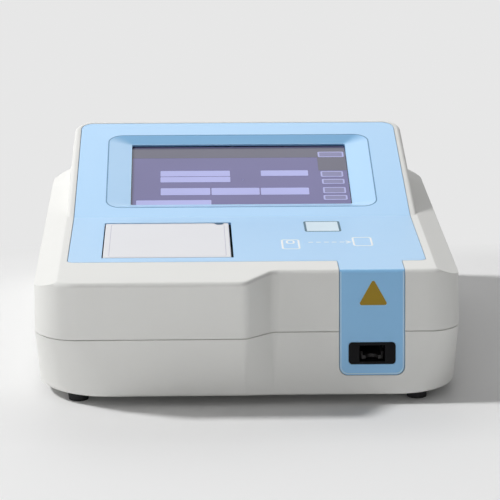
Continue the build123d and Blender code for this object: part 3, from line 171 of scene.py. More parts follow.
def addNode(material, kind, **values):
    # A new node; each value goes to the socket of that name, or else to the node's own setting
    node = material.node_tree.nodes.new(kind)
    for name, value in values.items():
        if name in node.inputs:
            node.inputs[name].default_value = value
        else:
            setattr(node, name, value)
    return node


def join(material, source, target):
    material.node_tree.links.new(source, target)


def objectPoint(material, scale=(1, 1, 1), turn=(0, 0, 0), shift=(0, 0, 0)):
    # Object coordinates, stretched, turned and shifted
    place = addNode(material, "ShaderNodeTexCoord")
    mapping = addNode(material, "ShaderNodeMapping")
    mapping.inputs["Scale"].default_value = scale
    mapping.inputs["Rotation"].default_value = turn
    mapping.inputs["Location"].default_value = shift
    join(material, place.outputs["Object"], mapping.inputs["Vector"])
    return mapping.outputs["Vector"]


def noise(material, vector, scale, detail=3.0, roughness=0.55):
    # Cloudy noise; mostly between 0.3 and 0.7
    node = addNode(material, "ShaderNodeTexNoise", Scale=scale, Detail=detail, Roughness=roughness)
    join(material, vector, node.inputs["Vector"])
    return node.outputs["Fac"]


def mathNode(material, operation, first, second=None):
    # One sum on node values; a plain number goes straight into its socket
    node = addNode(material, "ShaderNodeMath", operation=operation)
    for socket, value in zip(node.inputs, (first, second)):
        if isinstance(value, float):
            socket.default_value = value
        elif value is not None:
            join(material, value, socket)
    return node.outputs[0]


def spread(material, value, low, high, fromLow=0.3, fromHigh=0.7):
    # Carries a value from one range onto another in proportion, and stops at its ends
    node = addNode(material, "ShaderNodeMapRange")
    node.inputs["From Min"].default_value = fromLow
    node.inputs["From Max"].default_value = fromHigh
    node.inputs["To Min"].default_value = low
    node.inputs["To Max"].default_value = high
    join(material, value, node.inputs["Value"])
    return node.outputs["Result"]


def shadeBetween(material, value, dark, light):
    # The first colour where the value is 0, the second where it is 1, and a mix between
    node = addNode(material, "ShaderNodeMix", data_type="RGBA")
    node.inputs[6].default_value = (*dark, 1)
    node.inputs[7].default_value = (*light, 1)
    join(material, value, node.inputs["Factor"])
    return node.outputs[2]


def toned(colour, factor):
    # The colour times a factor, at most white
    return tuple(min(1.0, channel * factor) for channel in colour)


def shadeBase(material, shader, value, dark, light):
    # Lets a value shade the surface's colour
    join(material, shadeBetween(material, value, dark, light), shader.inputs["Base Color"])


def varyRoughness(material, shader, value, low, high):
    # Lets a noise value move the surface's roughness between two ends
    join(material, spread(material, value, low, high), shader.inputs["Roughness"])


def grainBump(material, height, distance, strength, edge=0.0):
    # Fine relief from a height value, over edges that the light sees as slightly rounded
    shader = material.node_tree.nodes["Principled BSDF"]
    bump = addNode(material, "ShaderNodeBump", Strength=strength, Distance=distance)
    join(material, height, bump.inputs["Height"])
    if edge:
        rounded = addNode(material, "ShaderNodeBevel", samples=4)
        rounded.inputs["Radius"].default_value = edge
        join(material, rounded.outputs["Normal"], bump.inputs["Normal"])
    join(material, bump.outputs["Normal"], shader.inputs["Normal"])


# Moulded plastics

plasticBase = {
    "specular": 0.4,
    "coat": 0.0,
    "coatRoughness": 0.2,
    "cloudScale": 14.0,
    "vary": 0.012,                     # how far the clouds shade the colour, as a share of it
    "rubScale": 90.0,
    "glossVary": 0.05,
    "grainScale": 2600.0,
    "grainDepth": 0.00003,
    "grain": 0.35,
    "edge": 0.0,                       # radius that rounds the edges for the light, m
}
plasticLooks = {
    "case_white": {
        "colour": (0.85, 0.85, 0.825), "roughness": 0.56, "specular": 0.2,
        "vary": 0.01, "grain": 0.3, "edge": 0.0007,
    },
    "fascia_blue": {
        "colour": (0.29, 0.62, 0.98), "roughness": 0.35, "glossVary": 0.02, "specular": 0.8,
        "coat": 0.7, "coatRoughness": 0.32, "vary": 0.008,
        "grain": 0.2, "grainScale": 1500.0, "grainDepth": 0.000006, "edge": 0.0005,
    },
    "door_white": {
        "colour": (0.83, 0.83, 0.86), "roughness": 0.44, "vary": 0.01, "grain": 0.3, "edge": 0.0003,
    },
    "black_plastic": {
        "colour": (0.005, 0.005, 0.006), "roughness": 0.42, "specular": 0.15,
        "vary": 0.2, "grain": 0.4, "edge": 0.0003,
    },
    "bucket_black": {"colour": (0.05, 0.05, 0.055), "roughness": 0.55, "vary": 0.12, "grain": 0.5},
    "tray_black": {
        "colour": (0.04, 0.038, 0.038), "roughness": 0.45, "vary": 0.15, "grain": 0.3, "edge": 0.0003,
    },
    "gear_white": {"colour": (0.84, 0.83, 0.77), "roughness": 0.4, "vary": 0.03, "grain": 0.3},
    "component_black": {
        "colour": (0.03, 0.03, 0.034), "roughness": 0.5, "vary": 0.25, "grain": 0.6, "rubScale": 400.0,
    },
    "ribbon": {"colour": (0.72, 0.73, 0.75), "roughness": 0.35, "vary": 0.04, "grain": 0.2},
    "ceramic": {"colour": (0.16, 0.18, 0.16), "roughness": 0.22, "vary": 0.1, "grain": 0.1},
    "card_core": {
        "colour": (0.42, 0.3, 0.18), "roughness": 0.8, "vary": 0.12, "grain": 0.8, "grainScale": 1200.0,
    },
    "lamp_clear": {"colour": (0.7, 0.76, 0.86), "roughness": 0.12, "vary": 0.03, "grain": 0.1},
    "touch_glass": {
        "colour": (0.02, 0.02, 0.045), "roughness": 0.12, "glossVary": 0.04, "specular": 0.5,
        "vary": 0.1, "grain": 0.02,
    },
    "module_black": {"colour": (0.03, 0.03, 0.034), "roughness": 0.4, "vary": 0.15, "grain": 0.3},
}


def mouldedPlastic(name, ownLook):
    # Spark-textured moulding: fine grain, slow clouds in the colour and small changes of gloss
    look = {**plasticBase, **ownLook}
    colour, roughness, vary = look["colour"], look["roughness"], look["vary"]
    material, shader = newMaterial(
        name, colour, roughness, Specular_IOR_Level=look["specular"],
        Coat_Weight=look["coat"], Coat_Roughness=look["coatRoughness"])
    vector = objectPoint(material)
    cloud = noise(material, vector, look["cloudScale"], detail=4.0)
    tone = spread(material, cloud, 0.0, 1.0)
    shadeBase(material, shader, tone, toned(colour, 1 - vary), toned(colour, 1 + vary))
    rub = noise(material, vector, look["rubScale"], detail=5.0, roughness=0.7)
    varyRoughness(material, shader, rub, roughness - look["glossVary"], roughness + look["glossVary"])
    grain = noise(material, vector, look["grainScale"], detail=2.0)
    grainBump(material, grain, look["grainDepth"], look["grain"], look["edge"])
    return material


# Metals

metalBase = {
    "along": 0,                        # axis of the machining lines
    "lineScale": 3000.0,
    "lineStretch": 25.0,
    "lineDepth": 0.000012,
    "lineStrength": 0.5,
    "glossRange": (-0.08, 0.1),
    "stainScale": 120.0,
    "stain": (0.86, 1.05),
    "edge": 0.0,
}
metalLooks = {
    "steel": {"colour": (0.6, 0.6, 0.61), "roughness": 0.28},
    "sheet_steel": {
        "colour": (0.52, 0.53, 0.55), "roughness": 0.36, "lineStretch": 40.0, "edge": 0.0003,
    },
    "aluminium": {"colour": (0.72, 0.72, 0.73), "roughness": 0.34, "along": 1},
    "brass": {"colour": (0.72, 0.52, 0.22), "roughness": 0.26, "along": 2},
}


def machinedMetal(name, ownLook):
    # Metal with fine lines along one axis, a slow stain in colour, and rubbed gloss
    look = {**metalBase, **ownLook}
    colour, roughness = look["colour"], look["roughness"]
    material, shader = newMaterial(name, colour, roughness, metallic=1.0)
    scale = [look["lineScale"]] * 3
    scale[look["along"]] /= look["lineStretch"]
    lines = noise(material, objectPoint(material, scale=tuple(scale)), 1.0, detail=3.0, roughness=0.6)
    stain = noise(material, objectPoint(material), look["stainScale"], detail=4.0)
    dark, light = look["stain"]
    tone = spread(material, stain, 0.0, 1.0)
    shadeBase(material, shader, tone, toned(colour, dark), toned(colour, light))
    low, high = look["glossRange"]
    varyRoughness(material, shader, lines, roughness + low, roughness + high)
    grainBump(material, lines, look["lineDepth"], look["lineStrength"], look["edge"])
    return material


# Rubber and foam

rubberBase = {
    "specular": 0.3,
    "bloomScale": 160.0,
    "bloomLight": 1.9,
    "bloomRange": (0.4, 0.75),
    "glossRange": (-0.1, 0.05),
    "pitScale": 1800.0,
    "pitDepth": 0.00005,
    "pitStrength": 0.5,
}
rubberLooks = {
    "foot_rubber": {"colour": (0.018, 0.018, 0.019), "roughness": 0.75},
    "gasket_foam": {"colour": (0.03, 0.03, 0.032), "roughness": 0.9},
    "platen_rubber": {"colour": (0.035, 0.035, 0.038), "roughness": 0.6},
}


def softRubber(name, ownLook):
    # Matt rubber: fine pits and a greyish bloom
    look = {**rubberBase, **ownLook}
    colour, roughness = look["colour"], look["roughness"]
    material, shader = newMaterial(name, colour, roughness, Specular_IOR_Level=look["specular"])
    vector = objectPoint(material)
    bloom = noise(material, vector, look["bloomScale"], detail=5.0, roughness=0.65)
    tone = spread(material, bloom, 0.0, 1.0, *look["bloomRange"])
    shadeBase(material, shader, tone, colour, toned(colour, look["bloomLight"]))
    low, high = look["glossRange"]
    varyRoughness(material, shader, bloom, roughness + low, roughness + high)
    pits = noise(material, vector, look["pitScale"], detail=3.0, roughness=0.7)
    grainBump(material, pits, look["pitDepth"], look["pitStrength"])
    return material


# Circuit boards

boardLook = {
    "colour": (0.012, 0.11, 0.05),
    "track": (0.03, 0.19, 0.09),
    "roughness": 0.32,
    "specular": 0.5,
    "trackScale": 260.0,
    "trackEdge": (0.72, 0.78),
    "blockScale": 45.0,
    "blockEdge": (0.48, 0.52),
    "relief": 0.00003,
    "strength": 0.6,
}


def circuitBoard(name, look):
    # Solder mask over fine tracks: two fields of thin parallel lines switched by blocks
    material, shader = newMaterial(
        name, look["colour"], look["roughness"], Specular_IOR_Level=look["specular"])
    fields = []
    for turn in (0.0, math.pi / 2):
        wave = addNode(material, "ShaderNodeTexWave", Scale=look["trackScale"], Distortion=0.0)
        join(material, objectPoint(material, turn=(0, 0, turn)), wave.inputs["Vector"])
        fields.append(spread(material, wave.outputs["Fac"], 0.0, 1.0, *look["trackEdge"]))
    blocks = addNode(material, "ShaderNodeTexVoronoi", Scale=look["blockScale"], distance="CHEBYCHEV")
    join(material, objectPoint(material), blocks.inputs["Vector"])
    switch = addNode(material, "ShaderNodeSeparateColor")
    join(material, blocks.outputs["Color"], switch.inputs["Color"])
    pick = addNode(material, "ShaderNodeMix", data_type="FLOAT")
    join(material, spread(material, switch.outputs[0], 0.0, 1.0, *look["blockEdge"]), pick.inputs["Factor"])
    join(material, fields[0], pick.inputs[2])
    join(material, fields[1], pick.inputs[3])
    shadeBase(material, shader, pick.outputs[0], look["colour"], look["track"])
    grainBump(material, pick.outputs[0], look["relief"], look["strength"])
    return material


# Paper roll

paperLook = {
    "colour": (0.86, 0.85, 0.82),
    "roughness": 0.7,
    "specular": 0.25,
    "axis": (-0.078538, 0.0518),       # Y and Z of the roll's axis, m
    "turnsPerMetre": 2200.0,
    "fibreScale": 900.0,
    "shadeRange": (0.4, 1.2),
    "dark": 0.9,
    "relief": 0.00004,
    "strength": 0.5,
}


def woundPaper(name, look):
    # Thermal paper: fibres, and rings where its turns show; a ring is the distance from the axis
    # times the turns in a metre, folded back and forth
    colour = look["colour"]
    material, shader = newMaterial(name, colour, look["roughness"], Specular_IOR_Level=look["specular"])
    axisY, axisZ = look["axis"]
    parts = addNode(material, "ShaderNodeSeparateXYZ")
    join(material, objectPoint(material, shift=(0, -axisY, -axisZ)), parts.inputs["Vector"])
    squareY = mathNode(material, "POWER", parts.outputs["Y"], 2.0)
    squareZ = mathNode(material, "POWER", parts.outputs["Z"], 2.0)
    radius = mathNode(material, "SQRT", mathNode(material, "ADD", squareY, squareZ))
    turns = mathNode(material, "MULTIPLY", radius, look["turnsPerMetre"])
    ring = mathNode(material, "PINGPONG", turns, 0.5)
    fibres = noise(material, objectPoint(material), look["fibreScale"], detail=4.0, roughness=0.6)
    both = mathNode(material, "ADD", ring, fibres)
    tone = spread(material, both, 0.0, 1.0, *look["shadeRange"])
    shadeBase(material, shader, tone, toned(colour, look["dark"]), colour)
    grainBump(material, both, look["relief"], look["strength"])
    return material


# Optical glass

glassBase = {"index": 1.5, "smearScale": 40.0, "smear": 0.06}
glassLooks = {
    "optic_glass": {"colour": (0.95, 0.98, 0.98), "roughness": 0.02, "clear": 1.0},
    "filter_glass": {"colour": (0.25, 0.6, 0.3), "roughness": 0.04, "clear": 0.7},
}


def clearGlass(name, ownLook):
    # Glass with a faint smear in its gloss
    look = {**glassBase, **ownLook}
    roughness = look["roughness"]
    material, shader = newMaterial(
        name, look["colour"], roughness, Transmission_Weight=look["clear"], IOR=look["index"])
    smear = noise(material, objectPoint(material), look["smearScale"], detail=4.0, roughness=0.6)
    varyRoughness(material, shader, smear, roughness, roughness + look["smear"])
    return material


finishes = {
    "board_green": circuitBoard("board_green", boardLook),
    "paper": woundPaper("paper", paperLook),
}
for finishMaker, looks in [
        (mouldedPlastic, plasticLooks), (machinedMetal, metalLooks),
        (softRubber, rubberLooks), (clearGlass, glassLooks)]:
    for finishName, finishLook in looks.items():
        finishes[finishName] = finishMaker(finishName, finishLook)

# Most material slots have a finish of their own name; these take another's
slotFinish = {"screen_glass": "touch_glass", "rocker_black": "black_plastic"}
nodeFinish = {"paper_bucket": "bucket_black"}
slotOf = {entry["node"]: entry["material_slot"] for entry in frame["record"]["subparts"]}

for nodeName, body in frame["nodes"].items():
    slotName = slotOf[nodeName]
    body.data.materials.clear()
    body.data.materials.append(finishes[nodeFinish.get(nodeName, slotFinish.get(slotName, slotName))])
print("nodes dressed")


# Meshes worked out on grids

def gridFaces(rows, columns, closedAround=False):
    # Quads between neighbouring rows and columns; the last column meets the first where closed
    row = np.arange(rows - 1)[:, None]
    column = np.arange(columns if closedAround else columns - 1)[None, :]
    following = (column + 1) % columns
    quad = np.stack([
        row * columns + column, row * columns + following,
        (row + 1) * columns + following, (row + 1) * columns + column], axis=-1)
    return quad.reshape(-1, 4)


def roundedOutline(width, height, radius, steps):
    # Corner arcs at the four corners of a rectangle, joined by its straight sides, anticlockwise
    turn = np.linspace(0, np.pi / 2, steps + 1)
    arcs = []
    for number, (sideX, sideY) in enumerate([(1, 1), (-1, 1), (-1, -1), (1, -1)]):
        angle = turn + number * np.pi / 2
        arcs.append(np.stack([
            sideX * (width / 2 - radius) + radius * np.cos(angle),
            sideY * (height / 2 - radius) + radius * np.sin(angle)], axis=-1))
    return np.concatenate(arcs)


def plateMesh(outline, thickness, edge):
    # Rings that go up the outline, round its edge, and in to the centre; the underside is closed too
    count = len(outline)
    centre = outline.mean(axis=0)
    away = outline - centre
    unit = away / np.linalg.norm(away, axis=1, keepdims=True)
    levels = [                         # how far each ring is drawn in, and its height
        (edge, 0.0), (0.0, edge * 0.6), (0.0, thickness - edge),
        (edge * 0.3, thickness - edge * 0.3), (edge, thickness)]
    rings = [np.hstack([outline - unit * inset, np.full((count, 1), rise)]) for inset, rise in levels]
    poles = np.array([[*centre, thickness], [*centre, 0.0]])
    points = np.concatenate(rings + [poles])
    last = (len(levels) - 1) * count
    index = np.arange(count)
    following = (index + 1) % count
    topFan = np.stack([last + index, last + following, np.full(count, len(points) - 2)], axis=-1)
    lowFan = np.stack([following, index, np.full(count, len(points) - 1)], axis=-1)
    return points, list(gridFaces(len(levels), count, closedAround=True)) + list(topFan) + list(lowFan)


# Section of a printed line: shares of its width and of its height
lineSection = np.array([(-0.5, 0.0), (-0.5, 0.55), (-0.3, 1.0), (0.3, 1.0), (0.5, 0.55), (0.5, 0.0)])


def lineMesh(path, width, height, closed=False):
    # The section carried along a flat path, set square to the mean of the directions before and
    # after each point and widened there by one over the cosine between them, so that corners mitre
    path = np.asarray(path, dtype=float)
    if closed:
        ahead = np.roll(path, -1, axis=0) - path
        behind = path - np.roll(path, 1, axis=0)
    else:
        ahead = np.diff(path, axis=0, append=path[-1:] * 2 - path[-2:-1])
        behind = np.diff(path, axis=0, prepend=path[:1] * 2 - path[1:2])
    unitAhead = ahead / np.linalg.norm(ahead, axis=1, keepdims=True)
    unitBehind = behind / np.linalg.norm(behind, axis=1, keepdims=True)
    along = unitAhead + unitBehind
    along /= np.linalg.norm(along, axis=1, keepdims=True)
    side = np.stack([along[:, 1], -along[:, 0]], axis=-1)
    stretch = 1 / np.maximum(0.5, np.sum(along * unitAhead, axis=1))
    offset = lineSection[None, :, 0:1] * width * stretch[:, None, None]
    across = path[:, None, :] + side[:, None, :] * offset
    rise = np.broadcast_to(lineSection[None, :, 1:2] * height, across.shape[:2] + (1,))
    points = np.concatenate([across, rise], axis=-1)
    rows, columns = points.shape[:2]
    faces = list(gridFaces(rows, columns, closedAround=True))
    column = np.arange(columns)
    lastRow = (rows - 1) * columns
    if closed:
        following = (column + 1) % columns
        faces += list(np.stack([lastRow + column, lastRow + following, following, column], axis=-1))
    else:
        faces += [column[::-1], column + lastRow]
    return points.reshape(-1, 3), faces


def frameMesh(outer, inner, thickness):
    # A flat frame: its four-sided section is carried round between two outlines with equal counts
    count = len(outer)
    low, high = np.zeros((count, 1)), np.full((count, 1), thickness)
    points = np.concatenate([
        np.hstack([outer, low]), np.hstack([outer, high]),
        np.hstack([inner, high]), np.hstack([inner, low])])
    column = np.arange(count)
    following = (column + 1) % count
    under = np.stack([3 * count + column, 3 * count + following, following, column], axis=-1)
    return points, list(gridFaces(4, count, closedAround=True)) + list(under)


def gather(meshes):
    # Several meshes as one: each one's faces count on from the points before it
    points, faces, start = [], [], 0
    for somePoints, someFaces in meshes:
        points.append(somePoints)
        faces += [face + start for face in someFaces]
        start += len(somePoints)
    return np.concatenate(points), faces


def moved(mesh, x, y, z=0.0):
    # The same mesh with every point shifted
    points, faces = mesh
    return points + np.array([x, y, z]), faces


# Planes of the case that the flat pieces lie on

mm = 0.001
casePlan = {
    "deckZ": 86.0,
    "kinkY": 5.262,                    # where the deck turns up into the pod
    "tilt": 14.1,                      # of the pod's face, degrees
    "screenRise": 70.65,               # from the kink up the slope to the screen's middle
    "glassDepth": 4.9,                 # of the glass below the pod's face
    "glassGap": 0.01,
    "footY": -150.338,                 # low end of the right front, under the tongue
    "footZ": 6.0,
    "frontLean": 12.3,                 # how far that front leans back over its height
    "frontHeight": 80.0,
}
tilt = math.radians(casePlan["tilt"])
tiltUp = np.array([0, math.cos(tilt), math.sin(tilt)])
tiltOut = np.array([0, -math.sin(tilt), math.cos(tilt)])
kink = np.array([0, casePlan["kinkY"], casePlan["deckZ"]])
screenMiddle = kink + casePlan["screenRise"] * tiltUp
glassDrop = casePlan["glassDepth"] - casePlan["glassGap"]
rake = math.atan2(casePlan["frontLean"], casePlan["frontHeight"])

planes = {                             # origin in mm, and the direction that is up on the plane
    "deck": ((0, 0, casePlan["deckZ"]), (0, 1, 0)),
    "podFace": (screenMiddle, tiltUp),
    "glass": (screenMiddle - tiltOut * glassDrop, tiltUp),
    "tongue": ((0, casePlan["footY"], casePlan["footZ"]), (0, math.sin(rake), math.cos(rake))),
}


def onPlane(points, plane):
    # Flat points in mm (x across, y up, z out) times the plane's directions, from its origin, in m
    origin, up = np.array(planes[plane][0], dtype=float), np.array(planes[plane][1], dtype=float)
    across = np.array([1.0, 0.0, 0.0])
    out = np.cross(across, up)
    return (origin + points[:, 0:1] * across + points[:, 1:2] * up + points[:, 2:3] * out) * mm


def flatPiece(name, meshes, plane, material, body="case"):
    # Several flat meshes as one piece on a plane of the case
    points, faces = gather(meshes)
    mesh = bpy.data.meshes.new(name)
    mesh.from_pydata(onPlane(points, plane).tolist(), [], [face.tolist() for face in faces])
    mesh.validate()
    mesh.update()
    mesh.materials.append(material)
    piece = bpy.data.objects.new(name, mesh)
    bpy.context.scene.collection.objects.link(piece)
    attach(piece, body)


# Screen picture: plain bars and fields; each box is its left, top, right and bottom in mm

screenLook = {
    "panel": {"box": (-78.8, 48.3, 78.8, -48.3), "colour": (0.113, 0.105, 0.255)},
    "header": {
        "boxes": [(-77.0, 45.6, 76.9, 28.6), (56.5, 28.8, 76.9, 8.0)],
        "colour": (0.088, 0.086, 0.13),
    },
    "bars": {
        "boxes": [
            (-56.8, 8.3, -7.1, -0.3), (-56.8, -1.1, -7.0, -9.5), (15.0, 8.2, 48.9, -0.3),
            (-56.6, -18.5, -21.6, -29.1), (-20.7, -18.6, 13.3, -29.2), (14.2, -18.8, 48.4, -29.3),
            (-73.8, -36.8, -21.0, -44.0),
        ],
        "colour": (0.345, 0.36, 0.66),
    },
    "buttons": {
        "boxes": [
            (57.2, 37.6, 76.0, 28.9), (57.8, 6.6, 73.9, -2.2), (58.2, -5.7, 74.3, -13.2),
            (58.3, -18.4, 74.5, -27.6), (58.1, -30.4, 75.0, -37.6),
        ],
        "rim": 1.2,
        "colour": (0.17, 0.168, 0.32),
        "rimColour": (0.33, 0.34, 0.60),
    },
    "dot": {"middle": (1.9, -5.9), "size": 1.6, "radius": 0.79, "edge": 0.01},
    "mask": {
        "outer": (157.6, 96.6), "inner": (154.0, 91.5), "radius": 0.8, "shift": 0.4,
        "darkLook": {"colour": (0.012, 0.014, 0.05), "roughness": 0.25, "vary": 0.1, "grain": 0.05},
    },
    "layer": 0.04,                     # thickness of each layer of the picture, mm
    "fieldRadius": 0.3,
    "barRadius": 0.8,
    "buttonRadius": 0.7,
    "rimRadius": 1.2,
    "softEdge": 0.02,
}
litLook = {
    "glow": 0.3,
    "roughness": 0.16,
    "specular": 0.22,
    "cloudScale": 9.0,
    "vary": 0.07,
    "pixelScale": 3500.0,
    "pixelDepth": 0.000004,
    "pixelStrength": 0.2,
}


def litSurface(name, colour, look):
    # A lit picture under glass: the colour shines a little, with a slow unevenness of the backlight
    material, shader = newMaterial(name, colour, look["roughness"], Specular_IOR_Level=look["specular"])
    cloud = noise(material, objectPoint(material), look["cloudScale"], detail=2.0)
    dark, light = toned(colour, 1 - look["vary"]), toned(colour, 1 + look["vary"])
    tone = shadeBetween(material, spread(material, cloud, 0.0, 1.0), dark, light)
    join(material, tone, shader.inputs["Base Color"])
    join(material, tone, shader.inputs["Emission Color"])
    shader.inputs["Emission Strength"].default_value = look["glow"]
    pixels = noise(material, objectPoint(material), look["pixelScale"], detail=1.0)
    grainBump(material, pixels, look["pixelDepth"], look["pixelStrength"])
    return material


def boxPlate(box, level, radius):
    # A plate one layer thick over a box, its middle halfway between the box's sides
    left, top, right, bottom = box
    layer = screenLook["layer"]
    outline = roundedOutline(right - left, top - bottom, radius, 4)
    plate = plateMesh(outline, layer, min(screenLook["softEdge"], layer / 3))
    return moved(plate, (left + right) / 2, (top + bottom) / 2, level * layer)


def boxPlates(boxes, level, radius):
    # A plate over each box, on the same level
    return [boxPlate(box, level, radius) for box in boxes]


def drawnIn(boxes, rim):
    # Each side of each box moved inwards by the rim
    return [tuple(np.array(box) + np.array([rim, -rim, -rim, rim])) for box in boxes]


def litPiece(name, meshes, colour):
    # Part of the lit picture, on the glass
    flatPiece(name, meshes, "glass", litSurface(name, colour, litLook))


panel, header, bars = screenLook["panel"], screenLook["header"], screenLook["bars"]
buttons, dot, mask = screenLook["buttons"], screenLook["dot"], screenLook["mask"]
fieldRadius, layer = screenLook["fieldRadius"], screenLook["layer"]
litPiece("screen_panel", boxPlates([panel["box"]], 0, fieldRadius), panel["colour"])
litPiece("screen_header", boxPlates(header["boxes"], 1, fieldRadius), header["colour"])
litPiece("screen_bars", boxPlates(bars["boxes"], 2, screenLook["barRadius"]), bars["colour"])
buttonRims = boxPlates(buttons["boxes"], 2, screenLook["rimRadius"])
litPiece("screen_button_rims", buttonRims, buttons["rimColour"])
buttonFaces = boxPlates(drawnIn(buttons["boxes"], buttons["rim"]), 3, screenLook["buttonRadius"])
litPiece("screen_buttons", buttonFaces, buttons["colour"])
dotMesh = plateMesh(roundedOutline(dot["size"], dot["size"], dot["radius"], 6), layer, dot["edge"])
litPiece("screen_dot", [moved(dotMesh, *dot["middle"])], bars["colour"])

maskOuter = roundedOutline(*mask["outer"], mask["radius"], 5)
maskInner = roundedOutline(*mask["inner"], mask["radius"], 5) + np.array([0.0, mask["shift"]])
maskMesh = moved(frameMesh(maskOuter, maskInner, layer), 0.0, 0.0, 2 * layer)
maskInk = mouldedPlastic("screen_mask", mask["darkLook"])
flatPiece("screen_mask", [maskMesh], "glass", maskInk)
print("screen picture made")

# Dark line round the edge of the screen's recess: painted shade where the recess's edge turns down

recessShadeLook = {
    "size": (188.8, 112.8), "radius": 10.4, "width": 0.9, "height": 0.05,
    # painted shade: a dark blue for the shadow along the recess's edge
    "darkLook": {"colour": (0.10, 0.28, 0.52), "roughness": 0.4, "vary": 0.03, "grain": 0.2},
}
recessShadeOutline = roundedOutline(*recessShadeLook["size"], recessShadeLook["radius"], 8)
recessShadeLine = lineMesh(recessShadeOutline, recessShadeLook["width"], recessShadeLook["height"], closed=True)
recessShade = mouldedPlastic("recess_edge_shade", recessShadeLook["darkLook"])
flatPiece("recess_edge_shade", [recessShadeLine], "podFace", recessShade)
print("recess edge made")

# Printed marks on the fascia: a card, dashes with an arrowhead, a reader, and a framed field

printLook = {
    "colour": (0.93, 0.97, 1.0),
    "width": 1.3,
    "height": 0.05,
    "frames": {
        "card": {"middle": (30.0, -72.0), "size": (11.0, 24.0), "radius": 2.0},
        "window": {"middle": (30.0, -66.0), "size": (4.5, 8.0), "radius": 2.0},
        "reader": {"middle": (78.0, -66.0), "size": (12.0, 22.0), "radius": 2.0},
    },
    "dashes": {"from": (42.0, -67.0), "to": (68.0, -67.0), "count": 5, "fill": 0.6},
    "arrow": {"gap": 2.0, "reach": 3.0},
}
badgeLook = {
    "frame": {"middle": (53.5, -24.2), "size": (23.2, 27.0), "radius": 1.4},
    "width": 1.5,
    "height": 0.07,
    "thickness": 0.04,
    "edge": 0.012,
    "fieldColour": (0.72, 0.86, 0.95),
    "rimColour": (0.06, 0.16, 0.24),
}
inkAndPaintedLightBase = {"vary": 0.03, "grain": 0.5, "grainScale": 1600.0, "cloudScale": 60.0}


def inkAndPaintedLight(name, colour, roughness=0.5):
    # Screen-printed ink, also used for the lines of painted highlight and painted shade on the tongue and
    # door: slightly uneven in gloss and shade
    return mouldedPlastic(name, {**inkAndPaintedLightBase, "colour": colour, "roughness": roughness})


def printedFrame(plan, width, height):
    # A line round a rounded rectangle, shifted to its middle
    outline = roundedOutline(*plan["size"], plan["radius"], 5)
    return lineMesh(outline + np.array(plan["middle"]), width, height, closed=True)


def dashRow(plan, width, height):
    # The way from start to end in equal steps; each dash fills the first share of its step
    start, end = np.array(plan["from"]), np.array(plan["to"])
    step = (end - start) / plan["count"]
    starts = [start + step * number for number in range(plan["count"])]
    return [lineMesh(np.stack([point, point + step * plan["fill"]]), width, height) for point in starts]


def arrowHead(tip, reach, width, height):
    # Two strokes that meet at the tip, each going back and aside by the same reach
    path = np.array(tip) + reach * np.array([(-1.0, 1.0), (0.0, 0.0), (-1.0, -1.0)])
    return lineMesh(path, width, height)


lineWidth, lineHeight, dashes = printLook["width"], printLook["height"], printLook["dashes"]
arrow = printLook["arrow"]
arrowTip = (dashes["to"][0] + arrow["gap"], dashes["to"][1])
guide = [printedFrame(plan, lineWidth, lineHeight) for plan in printLook["frames"].values()]
guide += dashRow(dashes, lineWidth, lineHeight)
guide.append(arrowHead(arrowTip, arrow["reach"], lineWidth, lineHeight))
guideInk = inkAndPaintedLight("guide_print", printLook["colour"])
flatPiece("guide_print", guide, "deck", guideInk)

badge = badgeLook["frame"]
badgeOutline = roundedOutline(*badge["size"], badge["radius"], 5)
badgeField = moved(plateMesh(badgeOutline, badgeLook["thickness"], badgeLook["edge"]), *badge["middle"])
fieldInk = inkAndPaintedLight("badge_field", badgeLook["fieldColour"])
flatPiece("badge_field", [badgeField], "deck", fieldInk)
badgeRim = printedFrame(badge, badgeLook["width"], badgeLook["height"])
rimInk = inkAndPaintedLight("badge_rim", badgeLook["rimColour"])
flatPiece("badge_rim", [badgeRim], "deck", rimInk)

# Gold pointer on the tongue

pointerLook = {
    "corners": [(80.0, 80.2), (70.5, 63.5), (89.5, 63.5)],   # X and Z in mm, seen from the front
    "radius": 1.2, "thickness": 0.08, "edge": 0.02, "colour": (0.38, 0.245, 0.009), "roughness": 0.42,
}


def upTongue(height):
    # Distance up the leaning front from its foot to a height in Z
    return (height - casePlan["footZ"]) / math.cos(rake)


def roundedCorners(corners, radius, steps=6):
    # Each corner becomes an arc that touches both its sides
    corners = np.array(corners, dtype=float)
    before = np.roll(corners, 1, axis=0) - corners
    after = np.roll(corners, -1, axis=0) - corners
    before /= np.linalg.norm(before, axis=1, keepdims=True)
    after /= np.linalg.norm(after, axis=1, keepdims=True)
    halfAngle = np.arccos(np.sum(before * after, axis=1)) / 2
    middle = before + after
    middle /= np.linalg.norm(middle, axis=1, keepdims=True)
    centre = corners + middle * (radius / np.sin(halfAngle))[:, None]
    reach = (radius / np.tan(halfAngle))[:, None]
    start = np.arctan2(*(corners + before * reach - centre).T[::-1])
    end = np.arctan2(*(corners + after * reach - centre).T[::-1])
    sweep = (end - start + np.pi) % (2 * np.pi) - np.pi
    angle = start[:, None] + sweep[:, None] * np.linspace(0, 1, steps + 1)[None, :]
    arcs = centre[:, None, :] + radius * np.stack([np.cos(angle), np.sin(angle)], axis=-1)
    return arcs.reshape(-1, 2)


pointerCorners = [(x, upTongue(z)) for x, z in pointerLook["corners"]]
pointerOutline = roundedCorners(pointerCorners, pointerLook["radius"])
pointerMesh = plateMesh(pointerOutline, pointerLook["thickness"], pointerLook["edge"])
pointerInk = inkAndPaintedLight("gold_pointer", pointerLook["colour"], pointerLook["roughness"])
flatPiece("gold_pointer", [pointerMesh], "tongue", pointerInk)
print("printed marks made")

# Light line down the tongue's sides and round its end: a painted highlight where light catches the tongue's
# edges

tongueHighlightLook = {
    "middle": 79.3, "across": 40.2, "top": 85.0, "end": 19.8, "radius": 4.8,
    # painted highlight: a blue lighter than the tongue's own
    "width": 0.6, "height": 0.03, "colour": (0.60, 0.80, 0.98), "roughness": 0.35,
}


